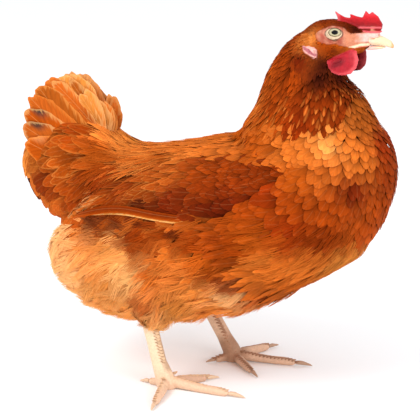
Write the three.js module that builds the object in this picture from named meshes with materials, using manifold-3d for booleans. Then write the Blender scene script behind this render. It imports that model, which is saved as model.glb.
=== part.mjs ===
// A brown laying hen, life size, standing at rest with her left foot a little ahead of the right one.
// Units are millimetres. +X runs from the tail to the bill, +Y to the hen's left and +Z up.
// While she is built, the floor is z = 0 and her middle plane is y = 0. The last lines set the whole
// group down with its box centred over the origin.

import * as THREE from "three";
import { mergeVertices } from "three/addons/utils/BufferGeometryUtils.js";
import Module from "manifold-3d";

const wasm = await Module();
wasm.setup();

// ---- Driving sizes ----------------------------------------------------------------------------

const GAP = 0.4; // clear space between two pieces that meet
const SIDES = [
  { name: "right", side: -1 }, // the hen's right side is -Y
  { name: "left", side: 1 },
];

const EYE = { x: 119.8, y: 13.4, z: 334.2, radius: 7.4 };
const COMB = { root: 4.6, point: 1.8, low: 336, high: 353 };
const WATTLE = { x: 127, y: 14.5, z: 310, long: 14, tall: 12.6, thick: 3.2, turn: 24 };
const WATTLE_SWING = { right: 0, left: 3 }; // how far ahead each wattle has swung
const EARLOBE = { x: 102, y: 19.5, z: 315.5, long: 9.5, tall: 4.6, thick: 3.4, droop: 27 };
// How far the folded wing stands proud of the trunk at its rim and how much more in its middle, how
// deep it is let in, how slim its tip is, and how it leaves the trunk behind free.
const WING = { proud: 1.6, middle: 4, buried: 3, tip: 0.4, free: -60, rearwardTaper: 0.13 };
// A fan's feathers run from the highest to the lowest. Angles are in degrees above the level, and each
// pair is the value at the highest and at the lowest feather.
const TAIL_FAN = {
  feathers: 7,
  thickness: 2.4,
  lap: 2.2,
  arch: 100, // how much the middle feathers outreach the outer ones
  highest: 72,
  rootX: -98,
  rootHeight: [208, 190],
  rootSpread: [5, 20],
  flare: [2, 12], // how much further apart the tips are than the roots
  right: { lowest: 15, short: 76, longer: 0 }, // short: length of the highest feather
  left: { lowest: -6, short: 72, longer: 19 },
};

// Where each foot's pad and hock are, the way its middle toe points in degrees, and how far the other
// toes turn from that one towards the hen's outside.
const LEGS = [
  {
    name: "right",
    side: -1,
    pad: [-26, -46.5],
    hock: [-49, -46],
    heading: -2,
    turns: { inner: -45, middle: 0, outer: 80, hind: 185 },
  },
  {
    name: "left",
    side: 1,
    pad: [10, 41],
    hock: [-34, 39],
    heading: 6,
    turns: { inner: -52, middle: 0, outer: 54, hind: 212 },
  },
];
const HOCK_HEIGHT = 86;
const ANKLE = { height: 15, behind: 5 }; // it stands a little behind the middle of the pad
const SHANK = { wide: 5.4, front: 7.1, back: 7.6 }; // half sizes at its slimmest
// Heights down the shank and through the pad, how far behind the pad's middle each is where it isn't
// on the line to the hock, and how much wider, fuller in front and fuller behind it is there.
const SHANK_SECTIONS = [
  { height: HOCK_HEIGHT, wide: 1.3, front: 1.2, back: 1.25 },
  { height: 62, wide: 1, front: 1, back: 1 },
  { height: 34, wide: 0.96, front: 0.94, back: 0.95 },
  { height: ANKLE.height, wide: 1.15, front: 1.1, back: 1 },
  { height: 6, behind: 1, wide: 1.6, front: 1.45, back: 1.25 },
  { height: -3, behind: 0, wide: 1.45, front: 1.35, back: 1.2 },
];

// Each toe's length to its claw, its thickness at the root and at the claw, and the claw's length.
const TOES = {
  middle: { long: 63, root: 10.4, tip: 7.4, claw: 15.5, joints: 3 },
  inner: { long: 41, root: 9.4, tip: 7, claw: 13, joints: 2 },
  outer: { long: 47, root: 9.4, tip: 7, claw: 13.5, joints: 4 },
  hind: { long: 19, root: 8.6, tip: 6.6, claw: 10, joints: 1 },
};
const TOE = { sunk: 0.82, arch: 2.4, knuckle: 0.07 }; // how deep it beds, its rise at the root, its joints
// Places along the claw from the toe's end, as shares of the claw's length, and the claw's middle height
// and half thickness there as shares of the toe's thickness at the claw.
const CLAW_SECTIONS = [
  { along: -0.2, height: 0.42, half: 0.35 },
  { along: 0.4, height: 0.42, half: 0.28 },
  { along: 0.8, height: 0.26, half: 0.15 },
  { along: 1, height: 0.14, half: 0.06 },
];

// ---- Colours ----------------------------------------------------------------------------------

const finish = (color, roughness) => new THREE.MeshStandardMaterial({ color, roughness, metalness: 0 });
const CHESTNUT = finish(0x8c3a14, 0.6);
const GINGER = finish(0xb5601f, 0.62);
const GOLD = finish(0xd08a48, 0.7);
const RED_SKIN = finish(0xd2283a, 0.45);
const PALE_SKIN = finish(0xe0a49a, 0.5);
const HORN = finish(0xe8d8ac, 0.4);
const LEG_SKIN = finish(0xd9b48c, 0.55);
const IRIS = finish(0xb99a5e, 0.15);

// ---- Solids and how they meet -----------------------------------------------------------------

const AXIS_X = new THREE.Vector3(1, 0, 0);
const AXIS_Y = new THREE.Vector3(0, 1, 0);
const AXIS_Z = new THREE.Vector3(0, 0, 1);
const TAILWARD = AXIS_Y.clone().negate(); // the side vector of a loft that runs towards the tail
const vec = (x, y, z) => new THREE.Vector3(x, y, z);
const radians = THREE.MathUtils.degToRad;
const mix = THREE.MathUtils.lerp;

// A closed geometry with its shared corners merged, and nothing but their places.
function bare(geometry) {
  const places = (geometry.index ? geometry.toNonIndexed() : geometry).getAttribute("position");
  return mergeVertices(new THREE.BufferGeometry().setAttribute("position", places.clone()), 1e-4);
}

function solid(geometry) {
  const merged = bare(geometry);
  const vertProperties = merged.attributes.position.array;
  const triVerts = new Uint32Array(merged.index.array);
  return new wasm.Manifold(new wasm.Mesh({ numProp: 3, vertProperties, triVerts }));
}

// The same solid swollen by the gap, for cutting its neighbour back.
function cutter(geometry) {
  const swollen = bare(geometry);
  swollen.computeVertexNormals();
  const { position, normal } = swollen.attributes;
  for (let i = 0; i < position.count; i++) {
    const place = vec(0, 0, 0).fromBufferAttribute(position, i);
    place.addScaledVector(vec(0, 0, 0).fromBufferAttribute(normal, i), GAP);
    position.setXYZ(i, place.x, place.y, place.z);
  }
  return solid(swollen);
}

function geometryOf(made) {
  const mesh = made.getMesh();
  const places = new Float32Array(mesh.numVert * 3);
  for (let i = 0; i < mesh.numVert; i++) {
    places.set(mesh.vertProperties.subarray(i * mesh.numProp, i * mesh.numProp + 3), i * 3);
  }
  return new THREE.BufferGeometry()
    .setAttribute("position", new THREE.BufferAttribute(places, 3))
    .setIndex(new THREE.BufferAttribute(mesh.triVerts, 1));
}

const joined = (solids) => solids.reduce((whole, piece) => whole.add(piece));
const cutBack = (made, others) => others.reduce((left, other) => left.subtract(cutter(other)), made);
const larger = (one, other) => (other.volume() > one.volume() ? other : one);
const largest = (made) => made.decompose().reduce(larger);

// All the space on the side of a plane that its normal points to, from a little way off the plane.
function beyond({ point, normal }, away) {
  const size = 900;
  const block = new THREE.BoxGeometry(size, size, size);
  block.translate(0, 0, size / 2 + away);
  const unit = normal.clone().normalize();
  block.applyQuaternion(new THREE.Quaternion().setFromUnitVectors(AXIS_Z, unit));
  block.translate(point.x, point.y, point.z);
  return solid(block);
}

// Closes rows of rings into one body. The first and last ring close on their own middle.
function skinned(rings) {
  const around = rings[0].length;
  const places = rings.flat();
  const faces = [];
  for (let i = 0; i + 1 < rings.length; i++) {
    for (let j = 0; j < around; j++) {
      const a = i * around + j;
      const b = i * around + ((j + 1) % around);
      faces.push(a, b, b + around, a, b + around, a + around);
    }
  }
  const middle = (ring) => ring.reduce((sum, p) => sum.add(p), vec(0, 0, 0)).divideScalar(around);
  const first = places.push(middle(rings[0])) - 1;
  const last = places.push(middle(rings.at(-1))) - 1;
  const lastRing = (rings.length - 1) * around;
  for (let j = 0; j < around; j++) {
    const next = (j + 1) % around;
    faces.push(first, next, j, last, lastRing + j, lastRing + next);
  }
  return new THREE.BufferGeometry().setFromPoints(places).setIndex(faces);
}

// A body round a spine. stations is a list of [x, y, z, side, up, down]: a place on the spine, and how
// far the body reaches from there to either side, to its upper side and to its lower one. side points
// to the hen's left on a spine that runs towards the bill. On a spine that runs down, up is the front.
// cap is the share of the spine that each end takes to round off, and square squares the section up.
// The rings of an upright body stand straight across X.
function loft(stations, { side = AXIS_Y, around, along, cap = [0.1, 0.1], square = 2, upright = false }) {
  const spine = new THREE.CatmullRomCurve3(stations.map((s) => vec(s[0], s[1], s[2])));
  const girth = new THREE.CatmullRomCurve3(stations.map((s) => vec(s[3], s[4], s[5])));
  const rounded = (share) => (share < 1 ? Math.sqrt(1 - (1 - share) ** 2) : 1);
  const bulge = (v) => Math.sign(v) * Math.abs(v) ** (2 / square);
  const rings = [];
  for (let i = 0; i <= along; i++) {
    const t = 0.5 - 0.5 * Math.cos((Math.PI * (i + 0.3)) / (along + 0.6));
    const centre = spine.getPoint(t);
    const reach = girth.getPoint(t);
    const ahead = upright ? AXIS_X : spine.getTangent(t);
    const across = side.clone().addScaledVector(ahead, -side.dot(ahead)).normalize();
    const above = ahead.clone().cross(across);
    const size = rounded(t / cap[0]) * rounded((1 - t) / cap[1]);
    const ring = [];
    for (let j = 0; j < around; j++) {
      const angle = (2 * Math.PI * j) / around;
      const rise = Math.sin(angle);
      const place = centre.clone().addScaledVector(across, size * reach.x * bulge(Math.cos(angle)));
      ring.push(place.addScaledVector(above, size * bulge(rise) * (rise > 0 ? reach.y : reach.z)));
    }
    rings.push(ring);
  }
  return skinned(rings);
}

// ---- The group ----------------------------------------------------------------------------------

const hen = new THREE.Group();
function addPiece(name, made, material) {
  const mesh = new THREE.Mesh(geometryOf(largest(made)), material);
  mesh.name = name;
  hen.add(mesh);
}

// ---- Stations of the body, in her own frame -----------------------------------------------------

const TRUNK = [
  [-128, 0, 160, 34, 42, 50],
  [-100, 0, 154, 52, 66, 74],
  [-60, 0, 150, 67, 69, 86],
  [-15, 0, 153, 74, 74, 91],
  [35, 0, 160, 77, 80, 92],
  [80, 0, 172, 76, 84, 79],
  [120, 0, 187, 69, 78, 71],
  [152, 0, 201, 57, 62, 64],
  [175, 0, 210, 42, 44, 50],
];
const NECK = [
  [66, 0, 196, 64, 56, 78],
  [85, 0, 222, 62, 57, 76],
  [95, 0, 246, 54, 55, 67],
  [97, 0, 266, 43, 52, 57],
  [96, 0, 285, 33, 46, 35],
  [97, 0, 303, 25, 36, 27.5],
  [101, 0, 318, 20, 25, 24],
  [107, 0, 330, 14, 15, 14],
];
const HEAD = [
  [84, 0, 321, 13, 9, 12],
  [96, 0, 324, 17, 14.5, 16.5],
  [108, 0, 327, 19.5, 17.2, 18.5],
  [120, 0, 328, 19, 16, 18],
  [132, 0, 327.5, 15, 12.5, 14.5],
  [142, 0, 326.5, 9.5, 9.2, 10],
  [149, 0, 326, 6.5, 7.5, 5.5],
];
const VENT_FLUFF = [
  [24, 0, 104, 58, 40, 45],
  [-30, 0, 104, 64, 50, 51],
  [-80, 0, 109, 62, 55, 57],
  [-122, 0, 111, 52, 46, 47],
  [-160, 0, 109, 38, 30, 28],
];
const TAIL_BASE = [
  [-60, 0, 180, 46, 31, 44],
  [-92, 0, 186, 45, 37, 48],
  [-127, 0, 193, 38, 50, 54],
  [-161, 0, 193, 28, 46, 50],
  [-191, 0, 189, 17, 26, 32],
];
const THIGHS = {
  right: [
    [14, -36, 150, 28, 40, 42],
    [-6, -42, 115, 27, 38, 37],
    [-30, -45, 84, 21, 20, 30],
    [-43, -46, 58, 14, 13, 16],
  ],
  left: [
    [24, 34, 150, 28, 40, 42],
    [8, 38, 115, 27, 38, 37],
    [-16, 39, 84, 21, 25, 30],
    [-20, 40, 54, 13, 18, 15],
  ],
};

const TRUNK_SQUARE = 2.15;
const trunkShape = { around: 24, along: 12, cap: [0.12, 0.2], square: TRUNK_SQUARE, upright: true };
const trunkBody = loft(TRUNK, trunkShape);
const neckBody = loft(NECK, { around: 20, along: 10, cap: [0.1, 0.12] });
const headBody = loft(HEAD, { around: 18, along: 9, cap: [0.2, 0.14], square: 2.8 });
const ventBody = loft(VENT_FLUFF, { side: TAILWARD, around: 20, along: 9, cap: [0.2, 0.24] });
const tailBody = loft(TAIL_BASE, { side: TAILWARD, around: 18, along: 9, cap: [0.2, 0.26], square: 2.2 });
const thighBodies = LEGS.map(({ name }) => loft(THIGHS[name], { around: 12, along: 7, cap: [0.3, 0.1] }));

function shankBody({ pad, hock }) {
  const stations = SHANK_SECTIONS.map(({ height, behind, wide, front, back }) => {
    const share = Math.max((height - ANKLE.height) / (HOCK_HEIGHT - ANKLE.height), 0);
    const x = mix(pad[0] - (behind ?? ANKLE.behind), hock[0], share);
    const y = mix(pad[1], hock[1], share);
    return [x, y, height, SHANK.wide * wide, SHANK.front * front, SHANK.back * back];
  });
  return loft(stations, { around: 12, along: 8, cap: [0.1, 0.05], square: 2.2 });
}
const shankBodies = LEGS.map(shankBody);

// ---- Wings: folded, each a thick curved plate let into the trunk's side -------------------------

// The folded wing's lower and upper edge from the shoulder to the tip, as [x, z].
const WING_EDGES = {
  lower: [[84, 219], [64, 203], [38, 182], [6, 170], [-30, 171], [-62, 174], [-94, 167], [-119, 155]],
  upper: [[84, 228], [60, 233], [20, 230], [-20, 223], [-52, 212], [-82, 195], [-105, 175], [-119, 160]],
};

const trunkSpine = new THREE.CatmullRomCurve3(TRUNK.map((s) => vec(s[0], s[1], s[2])));
const trunkGirth = new THREE.CatmullRomCurve3(TRUNK.map((s) => vec(s[3], s[4], s[5])));

// A place on the trunk's side at x and z, moved out from its surface.
function offTrunk(x, z, out) {
  let [low, high] = [0, 1];
  for (let step = 0; step < 20; step++) {
    const half = (low + high) / 2;
    if (trunkSpine.getPoint(half).x < x) low = half;
    else high = half;
  }
  const rise = z - trunkSpine.getPoint(low).z;
  const reach = trunkGirth.getPoint(low);
  const tall = rise > 0 ? reach.y : reach.z;
  const share = Math.min(Math.abs(rise) / tall, 0.97);
  const side = (1 - share ** TRUNK_SQUARE) ** (1 / TRUNK_SQUARE);
  const slope = TRUNK_SQUARE - 1;
  const normal = vec(0, side ** slope / reach.x, (Math.sign(rise) * share ** slope) / tall).normalize();
  return vec(x, reach.x * side, z).addScaledVector(normal, out);
}

function wing(side, swell = 0) {
  const [rows, columns] = [11, 4];
  const edge = (points) => new THREE.CatmullRomCurve3(points.map(([x, z]) => vec(x, 0, z)));
  const [lower, upper] = [edge(WING_EDGES.lower), edge(WING_EDGES.upper)];
  const rings = [];
  for (let i = 0; i <= rows; i++) {
    const u = i / rows;
    const slim = mix(1, WING.tip, u ** 2);
    const sheet = (out) =>
      Array.from({ length: columns + 1 }, (_, j) => {
        const middle = lower.getPoint(u).lerp(upper.getPoint(u), j / columns);
        const x = middle.x + swell * (1 - 2 * u);
        const z = middle.z + swell * ((2 * j) / columns - 1);
        const trailing = Math.max(WING.free - x, 0);
        const bulge = out > 0 ? WING.middle * Math.sin((Math.PI * j) / columns) : 0;
        const place = offTrunk(Math.max(x, WING.free), z, slim * (out + bulge) + swell * Math.sign(out));
        return vec(x, side * (place.y - trailing * WING.rearwardTaper), place.z);
      });
    const ring = [...sheet(WING.proud), ...sheet(-WING.buried).reverse()];
    rings.push(side < 0 ? ring : ring.reverse());
  }
  return skinned(rings);
}
const wings = SIDES.map(({ side }) => wing(side));
const wingSockets = SIDES.map(({ side }) => solid(wing(side, GAP)));

// ---- Tail fans: one side's long feathers, each lying over the next ------------------------------

function tailFan(side, { lowest, short, longer }) {
  const rows = [0.36, 0.7, 0.93, 1]; // places along a feather, as shares of its length
  const acrossFeather = [0.03, 0.5, 0.97];
  const { thickness, lap, arch, highest, rootX, rootHeight, rootSpread, flare } = TAIL_FAN;
  const rings = [];
  for (let f = 0; f < TAIL_FAN.feathers; f++) {
    for (const s of acrossFeather) {
      const a = (f + s) / TAIL_FAN.feathers;
      const angle = radians(mix(highest, lowest, a));
      const long = short + arch * a * (1 - a) + longer * a;
      const roundEnd = 1 - 0.45 * Math.abs(s - 0.5) ** 2.4;
      const sheet = (offset) =>
        rows.map((r) => {
          const out = long * (r === 1 ? roundEnd : Math.min(r, roundEnd - 0.03 * (1 - r)));
          const spread = mix(...rootSpread, a) + r * mix(...flare, a) + lap * (0.5 - s) + offset;
          const height = mix(...rootHeight, a) + out * Math.sin(angle);
          return vec(rootX - out * Math.cos(angle), side * spread, height);
        });
      const ring = [...sheet(thickness / 2), ...sheet(-thickness / 2).reverse()];
      rings.push(side < 0 ? ring : ring.reverse());
    }
  }
  return skinned(rings);
}
const tailFans = SIDES.map(({ side, name }) => tailFan(side, TAIL_FAN[name]));

// ---- Bill, comb, wattles, earlobes and eyes -----------------------------------------------------

const UPPER_BILL = [
  [138, 0, 327, 6.8, 6, 4],
  [146, 0, 327.3, 6.4, 6.2, 3.6],
  [154, 0, 327, 5, 5.4, 3.4],
  [161, 0, 326, 3.5, 4.4, 2.7],
  [166, 0, 324, 2.1, 2.7, 2.5],
  [168, 0, 321.7, 0.9, 0.9, 0.9],
];
const LOWER_BILL = [
  [136, 0, 321, 6, 1.9, 2.8],
  [147, 0, 321.2, 5, 1.9, 2.4],
  [155, 0, 321.8, 3.5, 1.3, 1.7],
  [161.5, 0, 322.2, 1.7, 0.6, 0.8],
];
const upperBill = loft(UPPER_BILL, { around: 10, along: 6, cap: [0.05, 0.1] });
const lowerBill = loft(LOWER_BILL, { around: 8, along: 4, cap: [0.05, 0.15] });

// The comb's outline from behind the crown forward, over its points and back along the skull.
const COMB_OUTLINE = [
  [120.5, 341], [116, 350.6], [124, 346.4], [130, 345.6], // rear point
  [129, 349.4], [135, 347.4], [140.3, 346.6], // second point
  [142.8, 352.8], [146, 349.4], [148.2, 351.9], // the two front points
  [153.6, 348.2], [157.6, 341.6], [157.2, 337.6], [151.5, 334], [144, 332], [132, 337],
];
function comb() {
  const outline = new THREE.Shape(COMB_OUTLINE.map(([x, z]) => new THREE.Vector2(x, z)));
  const plate = new THREE.ExtrudeGeometry(outline, { depth: COMB.root, bevelEnabled: false });
  plate.translate(0, 0, -COMB.root / 2);
  plate.rotateX(Math.PI / 2);
  const { position } = plate.attributes;
  for (let i = 0; i < position.count; i++) {
    const height = (position.getZ(i) - COMB.low) / (COMB.high - COMB.low);
    const slim = mix(1, COMB.point / COMB.root, THREE.MathUtils.clamp(height, 0, 1));
    position.setY(i, position.getY(i) * slim);
  }
  return plate;
}
const combPlate = comb();

function lobe({ x, y, z, long, tall, thick }, side, turn, droop) {
  const shape = new THREE.SphereGeometry(1, 12, 6);
  shape.rotateX(Math.PI / 2);
  shape.scale(long, thick, tall);
  shape.rotateY(radians(droop));
  shape.rotateZ(radians(-side * turn));
  shape.translate(x, side * y, z);
  return shape;
}

function eyeball(side) {
  const ball = new THREE.SphereGeometry(EYE.radius, 12, 8);
  ball.translate(EYE.x, side * EYE.y, EYE.z);
  return ball;
}
const eyeballs = SIDES.map(({ side }) => eyeball(side));

// ---- Head, neck, trunk and tail base: one body, parted with thin cuts ---------------------------

const NAPE_CUT = { point: vec(104, 0, 309), normal: vec(0.46, 0, 0.89) };
const SHOULDER_CUT = { point: vec(98, 0, 243), normal: vec(0.06, 0, 1) };
const TAIL_CUT = { point: vec(-104, 0, 200), normal: vec(-0.94, 0, 0.34) };
const VENT_CUT = { point: vec(-146, 0, 141), normal: vec(-0.2, 0, 1) };

const body = joined([trunkBody, neckBody, headBody, ventBody, tailBody].map(solid));
const tailSpace = (away) => beyond(TAIL_CUT, away).intersect(beyond(VENT_CUT, away));
const headPart = body.intersect(beyond(NAPE_CUT, GAP / 2));
const neckPart = body.subtract(beyond(NAPE_CUT, -GAP / 2)).intersect(beyond(SHOULDER_CUT, GAP / 2));
const trunkPart = body.subtract(beyond(SHOULDER_CUT, -GAP / 2)).subtract(tailSpace(-GAP / 2));
const tailPart = body.intersect(tailSpace(GAP / 2));

const sockets = joined(wingSockets);
addPiece("head", cutBack(headPart, eyeballs), CHESTNUT);
addPiece("neck", neckPart, CHESTNUT);
addPiece("trunk", cutBack(trunkPart.subtract(sockets), [...thighBodies, ...shankBodies]), GINGER);
addPiece("tail_base", tailPart.subtract(sockets), GINGER);
addPiece("comb", cutBack(solid(combPlate), [headBody, upperBill]), RED_SKIN);
addPiece("upper_bill", cutBack(solid(upperBill), [headBody]), HORN);
addPiece("lower_bill", cutBack(solid(lowerBill), [headBody, upperBill]), HORN);
SIDES.forEach(({ name, side }, i) => {
  const swung = { ...WATTLE, x: WATTLE.x + WATTLE_SWING[name] };
  const wattle = solid(lobe(swung, side, WATTLE.turn, 0));
  const earlobe = solid(lobe(EARLOBE, side, 0, EARLOBE.droop));
  addPiece(`eye_${name}`, solid(eyeballs[i]), IRIS);
  addPiece(`wattle_${name}`, cutBack(wattle, [headBody, neckBody, lowerBill]), RED_SKIN);
  addPiece(`earlobe_${name}`, cutBack(earlobe, [headBody, neckBody]), PALE_SKIN);
  addPiece(`wing_${name}`, solid(wings[i]), CHESTNUT);
  addPiece(`tail_fan_${name}`, cutBack(solid(tailFans[i]), [tailBody, trunkBody]), GOLD);
});

// ---- Legs: feathered thigh, scaly shank with its pad, four toes and their claws -----------------

const FLOOR = { point: vec(0, 0, 0), normal: AXIS_Z };
const onFloor = (made) => made.intersect(beyond(FLOOR, 0));

// Toe and claw are laid out along the toe's own way. The toe's underside is later cut flat by the floor.
function toeStations(leg, toeName) {
  const { long, root, tip, claw, joints } = TOES[toeName];
  const way = radians(leg.heading + leg.side * leg.turns[toeName]);
  const at = (distance, height) => [
    leg.pad[0] + distance * Math.cos(way),
    leg.pad[1] + distance * Math.sin(way),
    height,
  ];
  const steps = 2 * joints + 2;
  const toe = [];
  for (let i = 0; i <= steps; i++) {
    const s = i / steps;
    const knuckle = 1 + TOE.knuckle * Math.cos(2 * Math.PI * s * (joints + 1));
    const half = (mix(root, tip, s) / 2) * knuckle;
    toe.push([...at(s * long, half * TOE.sunk + TOE.arch * (1 - s) ** 2), half, half, half]);
  }
  const nail = CLAW_SECTIONS.map(({ along, height, half }) => {
    const reach = Array(3).fill(tip * half);
    return [...at(long + along * claw, tip * height), ...reach];
  });
  return { toe, nail };
}

LEGS.forEach((leg, i) => {
  const shank = shankBodies[i];
  addPiece(`thigh_${leg.name}`, cutBack(solid(thighBodies[i]), [shank]), GINGER);
  addPiece(`shank_${leg.name}`, onFloor(solid(shank)), LEG_SKIN);
  const laid = [shank];
  for (const toeName of Object.keys(TOES)) {
    const { toe, nail } = toeStations(leg, toeName);
    const toeBody = loft(toe, { around: 8, along: 7, cap: [0.05, 0.12] });
    const clawBody = loft(nail, { around: 6, along: 3, cap: [0.05, 0.1] });
    addPiece(`toe_${toeName}_${leg.name}`, onFloor(cutBack(solid(toeBody), laid)), LEG_SKIN);
    addPiece(`claw_${toeName}_${leg.name}`, onFloor(cutBack(solid(clawBody), [toeBody])), HORN);
    laid.push(toeBody);
  }
});

// ---- Her box centred over the origin, her soles at z = 0 ----------------------------------------

const box = new THREE.Box3().setFromObject(hen);
hen.position.set(-(box.min.x + box.max.x) / 2, -(box.min.y + box.max.y) / 2, -box.min.z);

export default hen;
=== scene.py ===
import math

import bpy
import numpy as np
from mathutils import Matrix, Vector
from mathutils.bvhtree import BVHTree


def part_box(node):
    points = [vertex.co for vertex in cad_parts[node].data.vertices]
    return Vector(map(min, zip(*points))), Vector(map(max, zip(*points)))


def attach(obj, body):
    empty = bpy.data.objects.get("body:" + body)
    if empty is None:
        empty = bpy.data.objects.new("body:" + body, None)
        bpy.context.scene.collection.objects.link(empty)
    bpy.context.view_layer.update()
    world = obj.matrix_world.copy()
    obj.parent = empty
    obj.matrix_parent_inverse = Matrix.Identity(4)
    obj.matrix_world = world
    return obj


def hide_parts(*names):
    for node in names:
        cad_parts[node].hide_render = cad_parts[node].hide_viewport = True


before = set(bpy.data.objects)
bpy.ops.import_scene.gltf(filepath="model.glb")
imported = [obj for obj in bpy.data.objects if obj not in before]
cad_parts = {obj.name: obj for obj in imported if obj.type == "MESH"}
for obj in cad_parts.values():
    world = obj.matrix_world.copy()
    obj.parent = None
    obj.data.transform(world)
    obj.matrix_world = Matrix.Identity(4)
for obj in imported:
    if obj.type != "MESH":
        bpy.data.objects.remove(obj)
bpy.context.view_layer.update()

# ---- Lie of the plumage --------------------------------------------------------------------------
# The feathers of head, neck, trunk, wings and tail base end at one soft surface. It is fused here from
# copies of the CAD nodes. Every feather lies along it, and the skin is made from it further down.

MM = 0.001
BETWEEN_EYES = np.array((119.8, 0.0, 334.2))  # in her own frame: millimetres from the floor under her
eye_corners = [corner for side in ("right", "left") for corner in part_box(f"eye_{side}")]
home = np.array(sum(eye_corners, Vector())) / 4 - BETWEEN_EYES * MM


def own(points):
    """Places in her own frame: x towards the bill, y to her left, z up from the floor, in millimetres."""
    return (np.asarray(points, float) - home) / MM


def row(points):
    """Places of her own frame in metres, in the frame that the CAD nodes share."""
    return np.asarray(points, float) * MM + home


def active_only(piece):
    """Deselects all, then selects one piece and makes it active."""
    bpy.ops.object.select_all(action="DESELECT")
    piece.select_set(True)
    bpy.context.view_layer.objects.active = piece


def joined(title, pieces):
    """Joins pieces into the first, which takes the title."""
    bpy.ops.object.select_all(action="DESELECT")
    for piece in pieces:
        piece.select_set(True)
    bpy.context.view_layer.objects.active = pieces[0]
    if len(pieces) > 1:
        bpy.ops.object.join()
    pieces[0].name = title
    return pieces[0]


def copied_nodes(title, names):
    """Copies of CAD nodes as one loose piece, with the corners of their triangles merged."""
    copies = []
    for name in names:
        copy = bpy.data.objects.new(title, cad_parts[name].data.copy())
        bpy.context.scene.collection.objects.link(copy)
        copy.data.materials.clear()
        copies.append(copy)
    made = joined(title, copies)
    bpy.ops.object.mode_set(mode="EDIT")
    bpy.ops.mesh.select_all(action="SELECT")
    bpy.ops.mesh.remove_doubles(threshold=1e-6)
    bpy.ops.object.mode_set(mode="OBJECT")
    return made


def with_modifier(piece, kind, **settings):
    """Adds a modifier with its settings and applies it."""
    active_only(piece)
    modifier = piece.modifiers.new(kind, kind)
    for name, value in settings.items():
        setattr(modifier, name, value)
    bpy.ops.object.modifier_apply(modifier=modifier.name)


def fused(piece, swell, voxel, smooth):
    """Closes the thin cuts between copied nodes and rounds their facets off. Sizes in millimetres."""
    with_modifier(piece, "DISPLACE", strength=swell * MM, mid_level=0)
    with_modifier(piece, "REMESH", mode="VOXEL", voxel_size=voxel * MM)
    with_modifier(piece, "SMOOTH", factor=0.5, iterations=smooth)


def places_of(piece):
    places = np.empty(len(piece.data.vertices) * 3, np.float32)
    piece.data.vertices.foreach_get("co", places)
    return own(places.reshape(-1, 3))


def normals_of(piece):
    normals = np.empty(len(piece.data.vertices) * 3, np.float32)
    piece.data.vertex_normals.foreach_get("vector", normals)
    return normals.reshape(-1, 3).astype(float)


def put_places(piece, places):
    piece.data.vertices.foreach_set("co", row(places).astype(np.float32).ravel())
    piece.data.update()


def unit(vectors):
    return vectors / np.maximum(np.linalg.norm(vectors, axis=-1, keepdims=True), 1e-9)


def mix(low, high, share):
    return low + (high - low) * share


def smooth(low, high, value):
    share = np.clip((value - low) / (high - low), 0, 1)
    return share * share * (3 - 2 * share)


class Surface:
    """A piece's surface in her own frame, which answers where its nearest place is."""

    def __init__(self, piece):
        self.places = places_of(piece)
        self.normals = normals_of(piece)
        piece.data.calc_loop_triangles()
        triangles = np.empty(len(piece.data.loop_triangles) * 3, np.int32)
        piece.data.loop_triangles.foreach_get("vertices", triangles)
        self.triangles = triangles.reshape(-1, 3)
        self.tree = BVHTree.FromPolygons(self.places.tolist(), self.triangles.tolist())

    def nearest(self, points):
        found = [self.tree.find_nearest(p) for p in points.tolist()]
        at = np.array([f[0] for f in found])
        corners = self.triangles[[f[2] for f in found]]
        return at, unit(self.normals[corners].sum(1))

    def gap(self, points):
        return np.array([self.tree.find_nearest(p)[3] for p in points.tolist()])

    def scatter(self, count, rng):
        a, b, c = (self.places[self.triangles[:, i]] for i in range(3))
        area = np.linalg.norm(np.cross(b - a, c - a), axis=1)
        pick = rng.choice(len(area), count, p=area / area.sum())
        s, t = rng.random(count), rng.random(count)
        fold = s + t > 1
        s[fold], t[fold] = 1 - s[fold], 1 - t[fold]
        at = a[pick] + (b - a)[pick] * s[:, None] + (c - a)[pick] * t[:, None]
        return at, unit(self.normals[self.triangles[pick]].sum(1))


SIDES = (("right", -1), ("left", 1))
BODY_NODES = ["trunk", "neck", "head", "tail_base", "thigh_right", "thigh_left", "wing_right", "wing_left"]
lie = copied_nodes("lie", BODY_NODES)
fused(lie, swell=0.35, voxel=3.2, smooth=5)
lie_surface = Surface(lie)

# ---- Plumage: its tracts, lie and colours --------------------------------------------------------
# A brown hen's feathers lie back from the bill, down the neck and back along the body. They are small
# and round on the breast, long and narrow on neck and saddle, and loose and downy on belly and thighs.


def shade(red, green, blue):
    """A colour as eyes see it, from 0 to 255, as the linear colour that light needs."""
    return np.array([((v / 255 + 0.055) / 1.055) ** 2.4 for v in (red, green, blue)])


MAROON = shade(58, 16, 6)
MAHOGANY = shade(104, 28, 2)
SIENNA = shade(126, 43, 3)
BRICK = shade(142, 43, 2)
CHESTNUT = shade(152, 57, 5)
RUST = shade(166, 70, 10)
COPPER = shade(184, 86, 24)
GINGER = shade(204, 102, 32)
AMBER = shade(226, 130, 52)
GOLD = shade(240, 152, 72)
PEACH = shade(247, 182, 116)
TAN = shade(190, 116, 66)
TAWNY = shade(158, 76, 19)
HONEY = shade(198, 118, 48)
STRAW = shade(234, 170, 100)

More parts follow.
